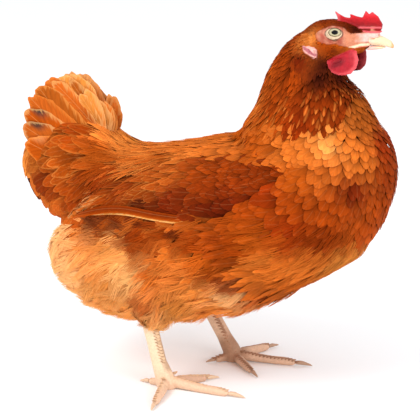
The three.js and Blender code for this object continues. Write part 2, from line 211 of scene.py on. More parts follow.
# Each place: where it is, the same on both sides with y outwards, which way feathers lie there, how
# long and wide they are, how far apart their roots are, how pointed and how frayed they are, their
# colour and the colour of their rim.
PLUMAGE = {
    "hackle": [
        ((146, 4, 334), (-1, 0, 0.3), 3, 1.6, 1.3, 0.3, 0.2, MAHOGANY, MAROON),
        ((136, 9, 337), (-1, 0, 0.1), 4, 1.8, 1.3, 0.3, 0.2, MAROON, MAROON),
        ((125, 9, 343), (-1, 0, -0.1), 5, 2, 1.4, 0.3, 0.3, MAHOGANY, MAROON),
        ((108, 9, 344), (-1, 0, -0.4), 7, 2.4, 1.6, 0.4, 0.3, SIENNA, MAHOGANY),
        ((96, 4, 340), (-0.8, 0, -0.6), 9, 3, 2, 0.5, 0.2, CHESTNUT, SIENNA),
        ((84, 8, 328), (-0.7, 0, -0.7), 13, 4.1, 2.4, 0.45, 0.4, SIENNA, CHESTNUT),
        ((134, 12, 321), (-1, 0, -0.1), 3, 1.4, 1.2, 0.3, 0.2, COPPER, RUST),
        ((122, 16, 324), (-1, 0, -0.2), 3.6, 1.5, 1.2, 0.3, 0.2, RUST, COPPER),
        ((118, 18, 319), (-1, 0, -0.3), 4, 1.6, 1.3, 0.4, 0.2, SIENNA, CHESTNUT),
        ((108, 19, 326), (-1, 0, -0.25), 5, 1.8, 1.3, 0.5, 0.3, CHESTNUT, RUST),
        ((97, 19, 329), (-1, 0, -0.2), 6, 1.8, 1.4, 0.6, 0.7, AMBER, PEACH),
        ((92, 18, 326), (-0.9, 0, -0.5), 6, 1.8, 1.4, 0.6, 0.7, COPPER, GOLD),
        ((92, 17, 336), (-0.9, 0, -0.5), 7, 2.4, 1.8, 0.5, 0.2, MAHOGANY, MAROON),
        ((112, 20, 306), (-0.5, 0, -0.85), 6, 2.2, 1.7, 0.4, 0.2, MAROON, MAROON),
        ((134, 6, 310), (-0.4, 0, -0.9), 6, 2.2, 1.7, 0.3, 0.2, CHESTNUT, SIENNA),
        ((122, 10, 296), (0, 0.1, -1), 12, 4.6, 2.6, 0.3, 0.4, MAROON, MAROON),
        ((108, 22, 294), (0, 0.1, -1), 14, 4.8, 2.7, 0.45, 0.4, MAROON, MAROON),
        ((90, 23, 308), (-0.3, 0.15, -1), 14, 4.6, 2.6, 0.52, 0.4, MAHOGANY, MAROON),
        ((76, 16, 312), (-0.5, 0.1, -0.9), 16, 4.8, 2.6, 0.56, 0.4, CHESTNUT, SIENNA),
        ((62, 8, 296), (-0.6, 0.1, -0.8), 24, 5.3, 2.8, 0.64, 0.4, RUST, RUST),
        ((84, 28, 292), (-0.3, 0.2, -0.95), 24, 5.8, 3, 0.6, 0.4, CHESTNUT, BRICK),
        ((48, 14, 268), (-0.5, 0.1, -0.85), 32, 6.2, 3.3, 0.68, 0.4, GINGER, COPPER),
        ((72, 36, 272), (-0.35, 0.2, -0.9), 30, 6.2, 3.2, 0.64, 0.4, CHESTNUT, BRICK),
        ((100, 34, 276), (-0.15, 0.25, -1), 26, 6.4, 3.2, 0.56, 0.4, SIENNA, MAHOGANY),
        ((120, 28, 280), (0, 0.2, -1), 20, 6.7, 3.3, 0.41, 0.4, SIENNA, MAROON),
        ((34, 26, 252), (-0.7, 0.2, -0.6), 32, 6.9, 3.6, 0.64, 0.4, RUST, COPPER),
        ((64, 48, 258), (-0.5, 0.2, -0.85), 32, 6.9, 3.5, 0.64, 0.4, RUST, CHESTNUT),
        ((96, 50, 264), (-0.3, 0.2, -0.95), 28, 7.1, 3.5, 0.56, 0.4, BRICK, MAHOGANY),
        ((120, 42, 268), (-0.1, 0.2, -1), 22, 7.6, 3.7, 0.45, 0.4, SIENNA, MAHOGANY),
    ],
    "body": [
        ((138, 10, 292), (0.3, 0.1, -1), 12, 5.5, 3.2, 0.2, 0.15, MAROON, MAROON),
        ((140, 14, 276), (0.3, 0.1, -1), 14, 7, 3.8, 0.2, 0.15, TAWNY, MAROON),
        ((150, 22, 260), (0.2, 0.1, -1), 16, 9, 4.6, 0.1, 0.15, TAWNY, MAROON),
        ((165, 14, 240), (0.1, 0.1, -1), 16, 10, 5, 0.05, 0.12, BRICK, MAROON),
        ((138, 44, 250), (-0.1, 0.15, -1), 17, 9.5, 4.8, 0.1, 0.2, GINGER, RUST),
        ((150, 42, 232), (-0.2, 0.1, -1), 18, 11, 5.4, 0.05, 0.12, GINGER, CHESTNUT),
        ((170, 18, 214), (-0.1, 0.05, -1), 17, 11, 5.4, 0.05, 0.12, SIENNA, MAROON),
        ((146, 50, 206), (-0.3, 0.05, -1), 19, 12, 5.8, 0, 0.12, MAHOGANY, MAHOGANY),
        ((166, 18, 188), (-0.25, 0.05, -1), 19, 11.5, 5.6, 0.05, 0.15, CHESTNUT, SIENNA),
        ((126, 60, 226), (-0.45, 0.1, -0.85), 20, 12.5, 5.8, 0, 0.15, COPPER, CHESTNUT),
        ((128, 54, 246), (-0.5, 0.15, -0.8), 18, 11, 5.4, 0.1, 0.3, GOLD, PEACH),
        ((112, 60, 240), (-0.7, 0.1, -0.6), 19, 12, 5.6, 0.1, 0.25, GINGER, AMBER),
        ((90, 64, 240), (-0.9, 0.1, -0.4), 22, 11, 5.4, 0.15, 0.3, GINGER, COPPER),
        ((60, 60, 242), (-0.95, 0.1, -0.3), 24, 10, 5.2, 0.25, 0.3, RUST, CHESTNUT),
        ((104, 68, 218), (-0.8, 0.05, -0.55), 24, 12.5, 6, 0.05, 0.2, RUST, CHESTNUT),
        ((130, 60, 190), (-0.5, 0, -0.85), 21, 12.5, 6, 0, 0.15, CHESTNUT, MAHOGANY),
        ((104, 70, 196), (-0.8, 0, -0.5), 25, 12.5, 6, 0.05, 0.25, CHESTNUT, SIENNA),
        ((78, 76, 204), (-0.95, 0, -0.25), 26, 12, 6, 0.1, 0.35, BRICK, BRICK),
        ((68, 76, 184), (-0.95, 0, -0.25), 27, 12, 6, 0.1, 0.35, CHESTNUT, CHESTNUT),
        ((152, 30, 164), (-0.5, 0, -0.85), 22, 11.5, 5.8, 0.1, 0.3, CHESTNUT, CHESTNUT),
        ((122, 58, 164), (-0.75, 0, -0.55), 26, 11, 5.7, 0.1, 0.5, SIENNA, CHESTNUT),
        ((96, 70, 168), (-0.9, 0, -0.35), 30, 10, 5.5, 0.25, 0.65, BRICK, RUST),
        ((64, 76, 160), (-0.97, 0, -0.2), 34, 9, 5.2, 0.4, 0.75, RUST, COPPER),
        ((134, 30, 134), (-0.8, 0, -0.55), 27, 10, 5.6, 0.3, 0.65, HONEY, TAWNY),
        ((104, 52, 134), (-0.92, 0, -0.35), 32, 9, 5.3, 0.4, 0.8, GINGER, AMBER),
        ((70, 68, 138), (-0.98, 0, -0.15), 35, 8.5, 5.2, 0.45, 0.8, GINGER, AMBER),
        ((84, 40, 104), (-0.98, 0, -0.15), 34, 8.5, 5.2, 0.45, 0.8, COPPER, GINGER),
        ((44, 72, 152), (-0.95, 0, -0.25), 34, 9, 5.2, 0.4, 0.75, CHESTNUT, SIENNA),
        ((20, 20, 240), (-1, 0.1, -0.2), 28, 8, 4.8, 0.5, 0.3, GINGER, COPPER),
        ((30, 52, 238), (-1, 0.1, -0.2), 26, 9, 5, 0.4, 0.3, GINGER, RUST),
        ((-5, 24, 234), (-1, 0.1, -0.05), 30, 8.5, 4.8, 0.55, 0.3, GINGER, AMBER),
        ((-10, 46, 222), (-0.9, 0.1, -0.45), 32, 8.5, 4.8, 0.6, 0.35, GINGER, GOLD),
        ((-50, 14, 222), (-1, 0.15, 0), 38, 7.5, 4.4, 0.75, 0.3, GINGER, GOLD),
        ((-40, 44, 214), (-0.75, 0.2, -0.65), 44, 7.5, 4.3, 0.85, 0.35, RUST, GOLD),
        ((-70, 48, 202), (-0.75, 0.15, -0.65), 46, 7.5, 4.3, 0.85, 0.35, COPPER, GOLD),
        ((-88, 44, 186), (-0.7, 0.1, -0.7), 42, 8, 4.6, 0.8, 0.35, BRICK, CHESTNUT),
        ((-88, 12, 231), (-1, 0.1, 0.15), 42, 9.5, 5.2, 0.4, 0.25, AMBER, GOLD),
        ((-97, 32, 216), (-1, 0.1, -0.05), 44, 11, 5.6, 0.3, 0.3, RUST, GINGER),
        ((-122, 22, 230), (-1, 0.05, 0), 42, 12, 6, 0.2, 0.3, CHESTNUT, HONEY),
        ((-150, 12, 232), (-0.95, 0.1, -0.05), 40, 12, 6, 0.2, 0.3, RUST, AMBER),
        ((-128, 32, 198), (-0.9, 0.05, -0.35), 42, 12, 6, 0.15, 0.2, RUST, GOLD),
        ((-160, 22, 208), (-0.85, 0, -0.4), 38, 12.5, 6.2, 0.1, 0.3, TAWNY, AMBER),
        ((-184, 8, 200), (-0.5, 0, -0.8), 32, 12, 6.2, 0.1, 0.2, AMBER, GOLD),
        ((-108, 40, 190), (-0.75, 0, -0.65), 42, 11, 5.8, 0.3, 0.2, CHESTNUT, GINGER),
        ((-152, 26, 182), (-0.7, 0, -0.6), 34, 12.5, 6.2, 0.1, 0.3, SIENNA, CHESTNUT),
        ((-124, 36, 168), (-0.7, 0, -0.7), 34, 11.5, 6, 0.15, 0.25, CHESTNUT, GINGER),
        ((-168, 12, 162), (-0.35, 0, -0.9), 28, 12, 6, 0.1, 0.3, GINGER, AMBER),
        ((-140, 22, 150), (-0.5, 0, -0.85), 24, 11, 6, 0.1, 0.35, COPPER, HONEY),
    ],
    "wing": [
        ((72, 72, 222), (-1, 0, -0.2), 20, 10, 5, 0.1, 0.3, SIENNA, SIENNA),
        ((40, 72, 226), (-1, 0, -0.2), 24, 9.5, 5, 0.25, 0.35, CHESTNUT, SIENNA),
        ((54, 76, 210), (-1, 0, -0.15), 24, 11.5, 5.6, 0.1, 0.25, SIENNA, MAHOGANY),
        ((10, 70, 220), (-1, 0, -0.2), 30, 9, 4.8, 0.5, 0.4, CHESTNUT, RUST),
        ((-16, 70, 214), (-0.95, 0, -0.3), 34, 8, 4.6, 0.7, 0.5, COPPER, AMBER),
        ((54, 79, 194), (-1, 0, -0.1), 27, 12, 5.8, 0.05, 0.2, MAHOGANY, MAROON),
        ((22, 78, 208), (-1, 0, -0.15), 28, 11.5, 5.6, 0.1, 0.2, SIENNA, SIENNA),
        ((-8, 78, 198), (-1, 0, -0.2), 34, 11, 5.4, 0.2, 0.3, MAHOGANY, MAHOGANY),
        ((-40, 76, 198), (-0.85, 0, -0.5), 40, 8, 4.6, 0.7, 0.7, RUST, GOLD),
        ((34, 80, 182), (-1, 0, 0.02), 36, 12.5, 6, 0.05, 0.12, MAHOGANY, MAROON),
        ((-10, 80, 182), (-1, 0, 0), 40, 12.5, 6, 0.05, 0.12, MAHOGANY, BRICK),
        ((-38, 78, 180), (-0.95, 0, -0.15), 40, 11, 5.6, 0.2, 0.3, MAROON, MAHOGANY),
        ((-66, 72, 192), (-0.8, 0, -0.6), 42, 8, 4.6, 0.8, 0.4, SIENNA, RUST),
        ((-80, 70, 176), (-0.85, 0, -0.5), 38, 8.5, 4.8, 0.7, 0.35, CHESTNUT, GINGER),
        ((-102, 66, 166), (-0.9, 0, -0.4), 32, 8, 4.8, 0.6, 0.3, GINGER, PEACH),
    ],
    "fluff": [
        # The first three places lie just under the folded wing's lower edge; their dark colours are painted
        # shade of the wing over the fluff.
        ((24, 72, 164), (-0.9, 0.05, -0.4), 20, 8, 6, 0.3, 1, SIENNA, CHESTNUT),
        ((-10, 72, 168), (-0.9, 0.05, -0.4), 16, 8, 6, 0.3, 1, MAROON, MAROON),
        ((-42, 70, 168), (-0.9, 0.05, -0.4), 16, 8, 6, 0.3, 1, MAROON, MAROON),
        ((12, 70, 150), (-0.85, 0.05, -0.45), 22, 8, 6, 0.3, 1, CHESTNUT, SIENNA),
        ((14, 71, 134), (-0.9, 0.05, -0.4), 22, 8, 6, 0.3, 1, RUST, GINGER),
        # These three lie under the rear edge of the breast feathers and are darker: painted shade under the
        # edge that overhangs the fluff.
        ((29, 68, 119), (-0.9, 0.05, -0.4), 22, 8, 6, 0.3, 1, SIENNA, CHESTNUT),
        ((42, 60, 108), (-0.9, 0.05, -0.4), 22, 8, 6, 0.3, 1, SIENNA, CHESTNUT),
        ((62, 54, 96), (-0.95, 0.05, -0.3), 22, 8, 6, 0.3, 1, CHESTNUT, COPPER),
        ((36, 58, 97), (-0.9, 0.05, -0.4), 22, 8, 6, 0.3, 1, PEACH, PEACH),
        ((28, 71, 132), (-0.9, 0.05, -0.4), 24, 8, 6, 0.3, 1, RUST, COPPER),
        ((-20, 70, 158), (-0.85, 0.05, -0.4), 22, 8, 6, 0.3, 1, CHESTNUT, SIENNA),
        ((-40, 68, 150), (-0.85, 0.05, -0.4), 24, 8, 6, 0.3, 1, CHESTNUT, SIENNA),
        ((-19, 66, 136), (-0.8, 0.05, -0.55), 26, 9, 6, 0.3, 1, GINGER, GOLD),
        ((2, 66, 120), (-0.85, 0.05, -0.5), 26, 9, 6, 0.3, 1, GINGER, GOLD),
        ((14, 58, 104), (-0.85, 0.05, -0.5), 24, 9, 6, 0.3, 1, AMBER, STRAW),
        ((-34, 62, 114), (-0.7, 0.05, -0.7), 26, 9, 6, 0.3, 1, COPPER, AMBER),
        ((-10, 54, 88), (-0.6, 0.05, -0.8), 24, 8, 6, 0.3, 1, HONEY, HONEY),
        ((-40, 52, 84), (-0.7, 0.05, -0.75), 22, 8, 6, 0.3, 1, CHESTNUT, RUST),
        ((-30, 50, 64), (-0.4, 0, -0.9), 17, 7, 5, 0.3, 1, STRAW, PEACH),
        ((20, 40, 76), (-0.95, 0, -0.2), 22, 8, 6, 0.3, 1, AMBER, GINGER),
        # These two lie under the rear of the folded wing; their dark colour is painted shade of the wing
        # over the fluff.
        ((-56, 68, 158), (-0.85, 0.05, -0.4), 22, 8, 6, 0.3, 1, MAHOGANY, MAHOGANY),
        ((-90, 62, 150), (-0.85, 0.05, -0.4), 24, 8, 6, 0.3, 1, MAHOGANY, MAHOGANY),
        ((-118, 50, 140), (-0.85, 0.05, -0.4), 24, 8, 6, 0.3, 1, GINGER, STRAW),
        ((-74, 62, 136), (-0.8, 0.05, -0.5), 26, 9, 6, 0.3, 1, GOLD, PEACH),
        ((-96, 58, 116), (-0.8, 0.05, -0.55), 26, 9, 6, 0.3, 1, AMBER, PEACH),
        ((-58, 60, 110), (-0.7, 0.05, -0.7), 26, 9, 6, 0.3, 1, STRAW, PEACH),
        ((-92, 50, 92), (-0.8, 0.05, -0.6), 26, 9, 6, 0.3, 1, HONEY, STRAW),
        ((-120, 44, 100), (-0.8, 0, -0.5), 26, 9, 6, 0.3, 1, PEACH, PEACH),
        ((-140, 34, 128), (-0.85, 0, -0.4), 24, 9, 6, 0.3, 1, PEACH, PEACH),
        ((-154, 16, 104), (-0.9, 0, -0.35), 22, 9, 6, 0.3, 1, PEACH, PEACH),
        ((-120, 24, 74), (-0.85, 0, -0.5), 24, 9, 6, 0.3, 1, PEACH, PEACH),
        ((-75, 40, 68), (-0.7, 0, -0.6), 24, 9, 6, 0.3, 1, GOLD, PEACH),
        ((-60, 14, 50), (-0.85, 0, -0.4), 22, 9, 6, 0.3, 1, GOLD, STRAW),
    ],
}
NUMBERS = ("length", "width", "spacing", "point", "fray")


class Tract:
    """What the places of one feather tract say about any spot near them."""

    def __init__(self, places):
        both = [(flip, place) for place in places for flip in (-1, 1)]
        mirror = np.array([(1, flip, 1) for flip, _ in both], float)
        self.at = np.array([place[0] for _, place in both]) * mirror
        self.way = unit(np.array([place[1] for _, place in both]) * mirror)
        self.numbers = np.array([place[2:7] for _, place in both], float)
        self.colour = np.array([place[7] for _, place in both])
        self.rim = np.array([place[8] for _, place in both])

    def weights(self, points, soft=4.0):
        gap = np.linalg.norm(points[:, None, :] - self.at[None], axis=2)
        weight = 1 / (gap + soft) ** 4
        return weight / weight.sum(1, keepdims=True)

    def way_at(self, points, normals):
        way = self.weights(points) @ self.way
        return unit(way - normals * (way * normals).sum(1, keepdims=True))

    def read(self, points):
        weight = self.weights(points)
        numbers = dict(zip(NUMBERS, (weight @ self.numbers).T))
        return numbers | {"colour": weight @ self.colour, "rim": weight @ self.rim}


tracts = {name: Tract(places) for name, places in PLUMAGE.items()}

# Borders between the tracts as x and z on her sides: the folded wing's two edges, the rear edge of the
# breast's feathers over thigh and belly, and the roots of the lowest hackle.
WING_LOW = [(106, 226), (84, 204), (56, 180), (16, 171), (-30, 171), (-62, 174), (-94, 167), (-122, 155)]
WING_HIGH = [(106, 228), (80, 233), (30, 230), (-20, 222), (-52, 211), (-82, 194), (-105, 174), (-122, 160)]
BREAST_EDGE = [(-180, 142), (-125, 148), (-100, 160), (0, 168), (34, 166), (48, 148), (56, 132), (76, 114)]
BREAST_EDGE += [(100, 96), (112, 70)]
HACKLE_EDGE = [(-20, 256), (20, 244), (45, 254), (92, 265), (118, 263), (130, 270), (137, 284), (141, 300)]
HACKLE_EDGE += [(152, 332)]
FLUFF_BEFORE = 112
WING_REACH = (-122, 106)
WING_SIDE = 40


def edge_height(edge, x):
    """How high a border between tracts runs at x."""
    across, height = np.array(sorted(edge)).T
    return np.interp(x, across, height)


def tract_of(points):
    """The name of the tract that each place belongs to."""
    x, y, z = points.T
    names = np.full(len(points), "body", dtype=object)
    names[(z < edge_height(BREAST_EDGE, x)) & (x < FLUFF_BEFORE)] = "fluff"
    folded = (z > edge_height(WING_LOW, x)) & (z < edge_height(WING_HIGH, x))
    names[folded & (np.abs(y) > WING_SIDE) & (x > WING_REACH[0]) & (x < WING_REACH[1])] = "wing"
    names[z > edge_height(HACKLE_EDGE, x)] = "hackle"
    return names


def soft_noise(points, size, seed):
    """A slow, smooth noise of about -1 to 1 over her body, made of a few crossed waves."""
    rng = np.random.default_rng(seed)
    total = np.zeros(len(points))
    for _ in range(6):
        way = unit(rng.normal(size=3)) * rng.uniform(0.7, 1.6) * 2 * math.pi / size
        total += np.sin(points @ way + rng.uniform(0, 2 * math.pi))
    return total / 2.4


def marking(points):
    """The plumage's colour at any place, the same for skin and feathers."""
    colour = np.zeros((len(points), 3))
    names = tract_of(points)
    for name, tract in tracts.items():
        inside = names == name
        if inside.any():
            colour[inside] = tract.read(points[inside])["colour"]
    return colour


# ---- Skin ----------------------------------------------------------------------------------------
# One skin covers her from comb to toes. It is bare on the face, comb, wattles, earlobes and legs, where
# it shows folds and small warts, and elsewhere it lies under the feathers by the depth of the coat.

EYE_AT = np.array((119.8, 13.4, 334.2))
EYE_WAY = unit(np.array((0.18, 1.0, 0.2)))
EYE_RADIUS = 7.4
EYE_FLAT = 0.66  # the opening between the lids is a level oval
LID_REACH = 7.2  # skin stops following the ball's curve here
WATTLE_AT = np.array((127.0, 14.5, 310.0))
WATTLE_RAISED = 2.6  # its front top stands this much higher than its CAD node
EARLOBE_AT = np.array((102.0, 19.5, 315.5))
LOBE_RAISED = 2.2
# How far the skin lies under the feathers' surface, in millimetres: body, neck and face
BODY_DEPTH = 4.6
NECK_DEPTH = 3.0
FACE_DEPTH = 0.8
WART_HEIGHT = 0.1


def mirrored(point, side):
    """A place or way on her left (1), or mirrored to her right (-1)."""
    return np.array((point[0], point[1] * side, point[2]))


def facing(way, side):
    """The turn that points a primitive's own z along a way."""
    return Vector(mirrored(way, side)).to_track_quat("Z", "Y").to_euler()


def ball_height(reach):
    """How high the eyeball's surface stands at a distance from the axis it looks along."""
    return np.sqrt(EYE_RADIUS**2 - np.minimum(reach, LID_REACH) ** 2)


def ring_of_skin(title, side, radius, thick, out):
    """An oval ring of skin round the eye, lying on the eyeball."""
    at = mirrored(EYE_AT + EYE_WAY * out, side)
    bpy.ops.object.select_all(action="DESELECT")
    bpy.ops.mesh.primitive_torus_add(
        location=row(at),
        rotation=facing(EYE_WAY, side),
        major_radius=radius * MM,
        minor_radius=thick * MM,
        major_segments=56,
        minor_segments=12,
    )
    ring = bpy.context.object
    ring.name = title
    bpy.ops.object.transform_apply(location=True, rotation=True, scale=True)
    bpy.ops.object.mode_set(mode="EDIT")
    bpy.ops.mesh.select_all(action="SELECT")
    bpy.ops.transform.resize(value=(1, 1, EYE_FLAT), center_override=row(at))
    bpy.ops.object.mode_set(mode="OBJECT")
    way = mirrored(EYE_WAY, side)
    places = places_of(ring)
    away = places - mirrored(EYE_AT, side)
    reach = np.linalg.norm(away - (away @ way)[:, None] * way, axis=1)
    higher = (ball_height(reach) - ball_height(radius)).clip(0, 3)
    put_places(ring, places + way * higher[:, None])
    return ring


def roll_of_skin(title, start, end, thick, tall=1.0):
    """A soft roll of skin between two places. thick is half its thickness, tall its height over that."""
    start, end = np.array(start, float), np.array(end, float)
    bpy.ops.object.select_all(action="DESELECT")
    bpy.ops.mesh.primitive_uv_sphere_add(radius=1, segments=20, ring_count=14, location=(0, 0, 0))
    roll = bpy.context.object
    roll.name = title
    roll.scale = (thick * MM, thick * tall * MM, np.linalg.norm(end - start) / 2 * MM)
    roll.rotation_euler = Vector(end - start).to_track_quat("Z", "Y").to_euler()
    roll.location = row((start + end) / 2)
    bpy.ops.object.transform_apply(location=True, rotation=True, scale=True)
    return roll


FOLDS = [
    # start and end, the same on both sides with y outwards, half thickness, height over thickness
    ("comb_fold", (138, 2.6, 338.4), (156, 2.4, 339.0), 1.0, 1.0),
    ("comb_fold", (139, 3.4, 335.2), (157.5, 2.6, 335.0), 1.1, 1.0),
    ("nostril_flap", (144, 4.6, 332.6), (155.5, 3.3, 332.0), 1.5, 1.5),
    ("gape_fold", (130, 12.2, 321.4), (147, 6.0, 325.0), 1.1, 1.0),
    ("gape_fold", (128, 12.6, 318.8), (144, 6.4, 321.6), 1.0, 1.0),
    ("cheek_fold", (128, 14.6, 328.5), (142, 8.4, 327.0), 0.9, 1.0),
    ("brow", (110, 17.2, 340.6), (130, 13.6, 341.4), 2.0, 1.0),
    ("face_fold", (106, 18.4, 336.0), (110, 18.2, 327.0), 0.8, 1.0),
    ("face_fold", (109.5, 18.2, 338.5), (112, 18.2, 326.0), 0.7, 1.0),
    ("earlobe_rim", (91, 19.6, 323.4), (99, 22.4, 321.4), 0.7, 1.0),
    ("earlobe_rim", (99, 22.4, 321.4), (105, 22.6, 314.6), 0.7, 1.0),
    ("earlobe_rim", (91, 19.6, 323.2), (94.5, 22.4, 316.2), 0.7, 1.0),
    ("earlobe_rim", (94.5, 22.4, 316.2), (104.5, 22.6, 313.2), 0.7, 1.0),
]
LOBES = [f"{part}_{side_name}" for side_name, _ in SIDES for part in ("wattle", "earlobe")]


def dished(places, normals, side, centre, reach, depth, tilt):
    """Pushes the outer face of a wattle or earlobe in, and leaves its rim standing."""
    away = places - mirrored(centre, side)
    turn = math.radians(tilt)
    across = (away[:, 0] * math.cos(turn) + away[:, 2] * math.sin(turn)) / reach[0]
    down = (away[:, 2] * math.cos(turn) - away[:, 0] * math.sin(turn)) / reach[1]
    share = (1 - smooth(0.2, 1.0, np.hypot(across, down))) * smooth(0.1, 0.5, normals[:, 1] * side)
    places[:, 1] -= share * depth * side


def above_wattle(points):
    """How far points lie above the line where the cheek's feathers hang over the wattle."""
    return points[:, 2] - (309.6 + (points[:, 0] - 113) * 0.488)


head_parts = [copied_nodes("head_skin", ["head", "comb"])]
for side_name, side in SIDES:
    wattle = copied_nodes("head_skin", [f"wattle_{side_name}"])
    fused(wattle, swell=0.05, voxel=0.8, smooth=2)
    places, normals = places_of(wattle), normals_of(wattle)
    dished(places, normals, side, WATTLE_AT + (-4.5, 6, 0.5), (9.5, 3.8), 2.2, 25)
    dished(places, normals, side, WATTLE_AT + (-2, 6, -4.5), (7.5, 3.0), 0.8, 18)
    places[:, 2] += WATTLE_RAISED * smooth(306, 315, places[:, 2]) * smooth(124, 131, places[:, 0])
    places[:, 1] -= side * 13 * smooth(-1, 3, above_wattle(places))
    places += normals * (0.25 * soft_noise(places, 5, 16))[:, None]
    put_places(wattle, places)
    head_parts.append(wattle)
    earlobe = copied_nodes("head_skin", [f"earlobe_{side_name}"])
    fused(earlobe, swell=0.05, voxel=0.6, smooth=2)
    places, normals = places_of(earlobe), normals_of(earlobe)
    dished(places, normals, side, EARLOBE_AT + (-0.8, 3, 0.8), (6.6, 3.2), 2.2, -35)
    places += normals * (0.5 * soft_noise(places, 5, 12) * soft_noise(places, 3, 13))[:, None]
    places[:, 1] -= side * 7 * smooth(103, 108, places[:, 0])
    places[:, 2] += LOBE_RAISED
    put_places(earlobe, places)
    head_parts.append(earlobe)

    head_parts.append(ring_of_skin("lid", side, radius=6.5, thick=0.85, out=4.1))
    head_parts.append(ring_of_skin("lid_fold", side, radius=8.6, thick=0.8, out=3.0))
    for title, start, end, thick, tall in FOLDS:
        head_parts.append(roll_of_skin(title, mirrored(start, side), mirrored(end, side), thick, tall))
head_parts.append(roll_of_skin("comb_prong", (123, 0, 343.5), (115.6, 0, 351), thick=1.0))
head_skin = joined("head_skin", head_parts)
fused(head_skin, swell=0.25, voxel=0.75, smooth=2)


def gape_line(x):
    """The height of the fold that runs back and down from the corner of the bill."""
    return 324.6 + (np.minimum(x, 142) - 142) * 0.3


def from_disc(points):
    """How far out points lie on the bare disc round the eye: 0 in its middle, 1 at its edge."""
    return np.hypot((points[:, 0] - 115.2) / 12.6, (points[:, 2] - 331.6) / 7.4)


def from_eye(points):
    """How far points lie from the middle of the oval between the lids, measured along it."""
    return np.hypot(points[:, 0] - EYE_AT[0], (points[:, 2] - EYE_AT[2]) / EYE_FLAT)


def bare_face(points):
    """How bare the face is, from 0 under feathers to 1 round the eye and before it."""
    x, y, z = points[:, 0], np.abs(points[:, 1]), points[:, 2]
    near_eye = 1 - smooth(0.86, 1.0, from_disc(points))
    eye_ring = 1 - smooth(9.4, 10.4, from_eye(points))
    cheek_top = np.maximum(gape_line(x) - 2, 325 - (x - 122) * 0.25)
    brow_low = np.maximum(340 - (x - 122) * 0.5, 334.4)
    lores = smooth(120, 124, x) * smooth(-0.7, 0.7, z - cheek_top) * smooth(-1, 1, brow_low - z)
    nostrils = smooth(141, 143.5, x) * smooth(325, 327, z) * (1 - smooth(335, 336, z))
    bill_foot = np.maximum(smooth(147, 149, x), nostrils)
    bare_sides = np.maximum.reduce([near_eye, eye_ring, lores, bill_foot])
    return np.where(y > 2.2, bare_sides, bill_foot)


def gap_to(points, names):
    """How far points lie from the nearest of some CAD nodes."""
    return np.minimum.reduce([Surface(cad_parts[name]).gap(points) for name in names])


places = places_of(head_skin)
normals = normals_of(head_skin)
feathered = (1 - bare_face(places)) * smooth(0.6, 2.0, gap_to(places, ["comb"] + LOBES))
near_neck = 1 - smooth(296, 305, places[:, 2])
places -= normals * (feathered * mix(FACE_DEPTH, NECK_DEPTH, near_neck))[:, None]
warts = soft_noise(places, 2.6, 5) * soft_noise(places, 1.9, 6)
places += normals * (WART_HEIGHT * warts * (1 - feathered))[:, None]
put_places(head_skin, places)

leg_parts = []
TOES = ("middle", "inner", "outer", "hind")
# The middle line of each shank, from its ankle up to the feathers of the thigh, on its own side
SHANK_LINES = {"right": ((-31, -46.5, 15), (-44, -46, 66)), "left": ((5, 41, 15), (-23, 39.6, 66))}
LEG_NODES = {
    side_name: [f"shank_{side_name}"] + [f"toe_{toe}_{side_name}" for toe in TOES] for side_name, _ in SIDES
}
for side_name, _ in SIDES:
    leg_parts.append(copied_nodes("leg_skin", LEG_NODES[side_name]))
leg_skin = joined("leg_skin", leg_parts)
fused(leg_skin, swell=0.15, voxel=1.0, smooth=2)

skin = lie.copy()
skin.data = lie.data.copy()
skin.name = "skin"
bpy.context.scene.collection.objects.link(skin)
with_modifier(skin, "REMESH", mode="VOXEL", voxel_size=4.2 * MM)
places = places_of(skin)
depth = mix(BODY_DEPTH, NECK_DEPTH, smooth(250, 300, places[:, 2]))
put_places(skin, places - normals_of(skin) * depth[:, None])
for part in (head_skin, leg_skin):
    with_modifier(skin, "BOOLEAN", operation="UNION", object=part, solver="MANIFOLD")
    bpy.data.objects.remove(part)


def paint(piece, name, colours):
    """Gives each corner of a piece its colour under a name that materials read."""
    layer = piece.data.color_attributes.new(name, "FLOAT_COLOR", "POINT")
    opaque = np.concatenate((colours, np.ones((len(colours), 1))), 1)
    layer.data.foreach_set("color", opaque.astype(np.float32).ravel())


def number(piece, name, values):
    """Gives each corner of a piece a number under a name that materials read."""
    layer = piece.data.attributes.new(name, "FLOAT", "POINT")
    layer.data.foreach_set("value", np.ascontiguousarray(values, dtype=np.float32).ravel())


def layered(colour, over, share):
    """Lays one colour over another, as densely as share says."""
    return colour * (1 - share[:, None]) + over * share[:, None]


FACE_PINK = shade(168, 80, 60)
FACE_PALE = shade(198, 128, 102)
LORES_TAN = shade(206, 128, 92)
LID = shade(208, 182, 150)
LID_CREASE_SHADE = shade(92, 56, 44)
GAPE_CREAM = shade(250, 214, 178)
GAPE_RED = shade(236, 120, 96)
NOSTRIL_PALE = shade(240, 188, 176)
COMB_RED = shade(206, 22, 34)
COMB_DARK = shade(140, 10, 16)
COMB_PALE = shade(222, 92, 98)
WATTLE_RED = shade(170, 24, 38)
# The next three wattle colours: a pale rim that is partly a painted highlight, then painted shade for the
# hollow and for the inner side.
WATTLE_HIGHLIGHT_RIM = shade(230, 84, 90)
WATTLE_SHADE_DEEP = shade(104, 8, 20)
WATTLE_SHADE_INNER = shade(96, 6, 8)
LOBE_MAUVE = shade(176, 96, 104)
LOBE_PALE = shade(236, 172, 162)
LEG_PALE = shade(236, 206, 172)
LEG_PINK = shade(226, 184, 154)
# The dun and the brown below serve mostly as painted shade on the legs; the brown is also the plates' own
# colour down the shanks' fronts.
LEG_SHADE_DUN = shade(200, 158, 132)
LEG_BROWN_AND_SHADE = shade(150, 104, 76)
FAR_OFF = 50.0  # stands for the gap where it isn't measured
HEAD_FROM = 285
LEGS_TO = 90

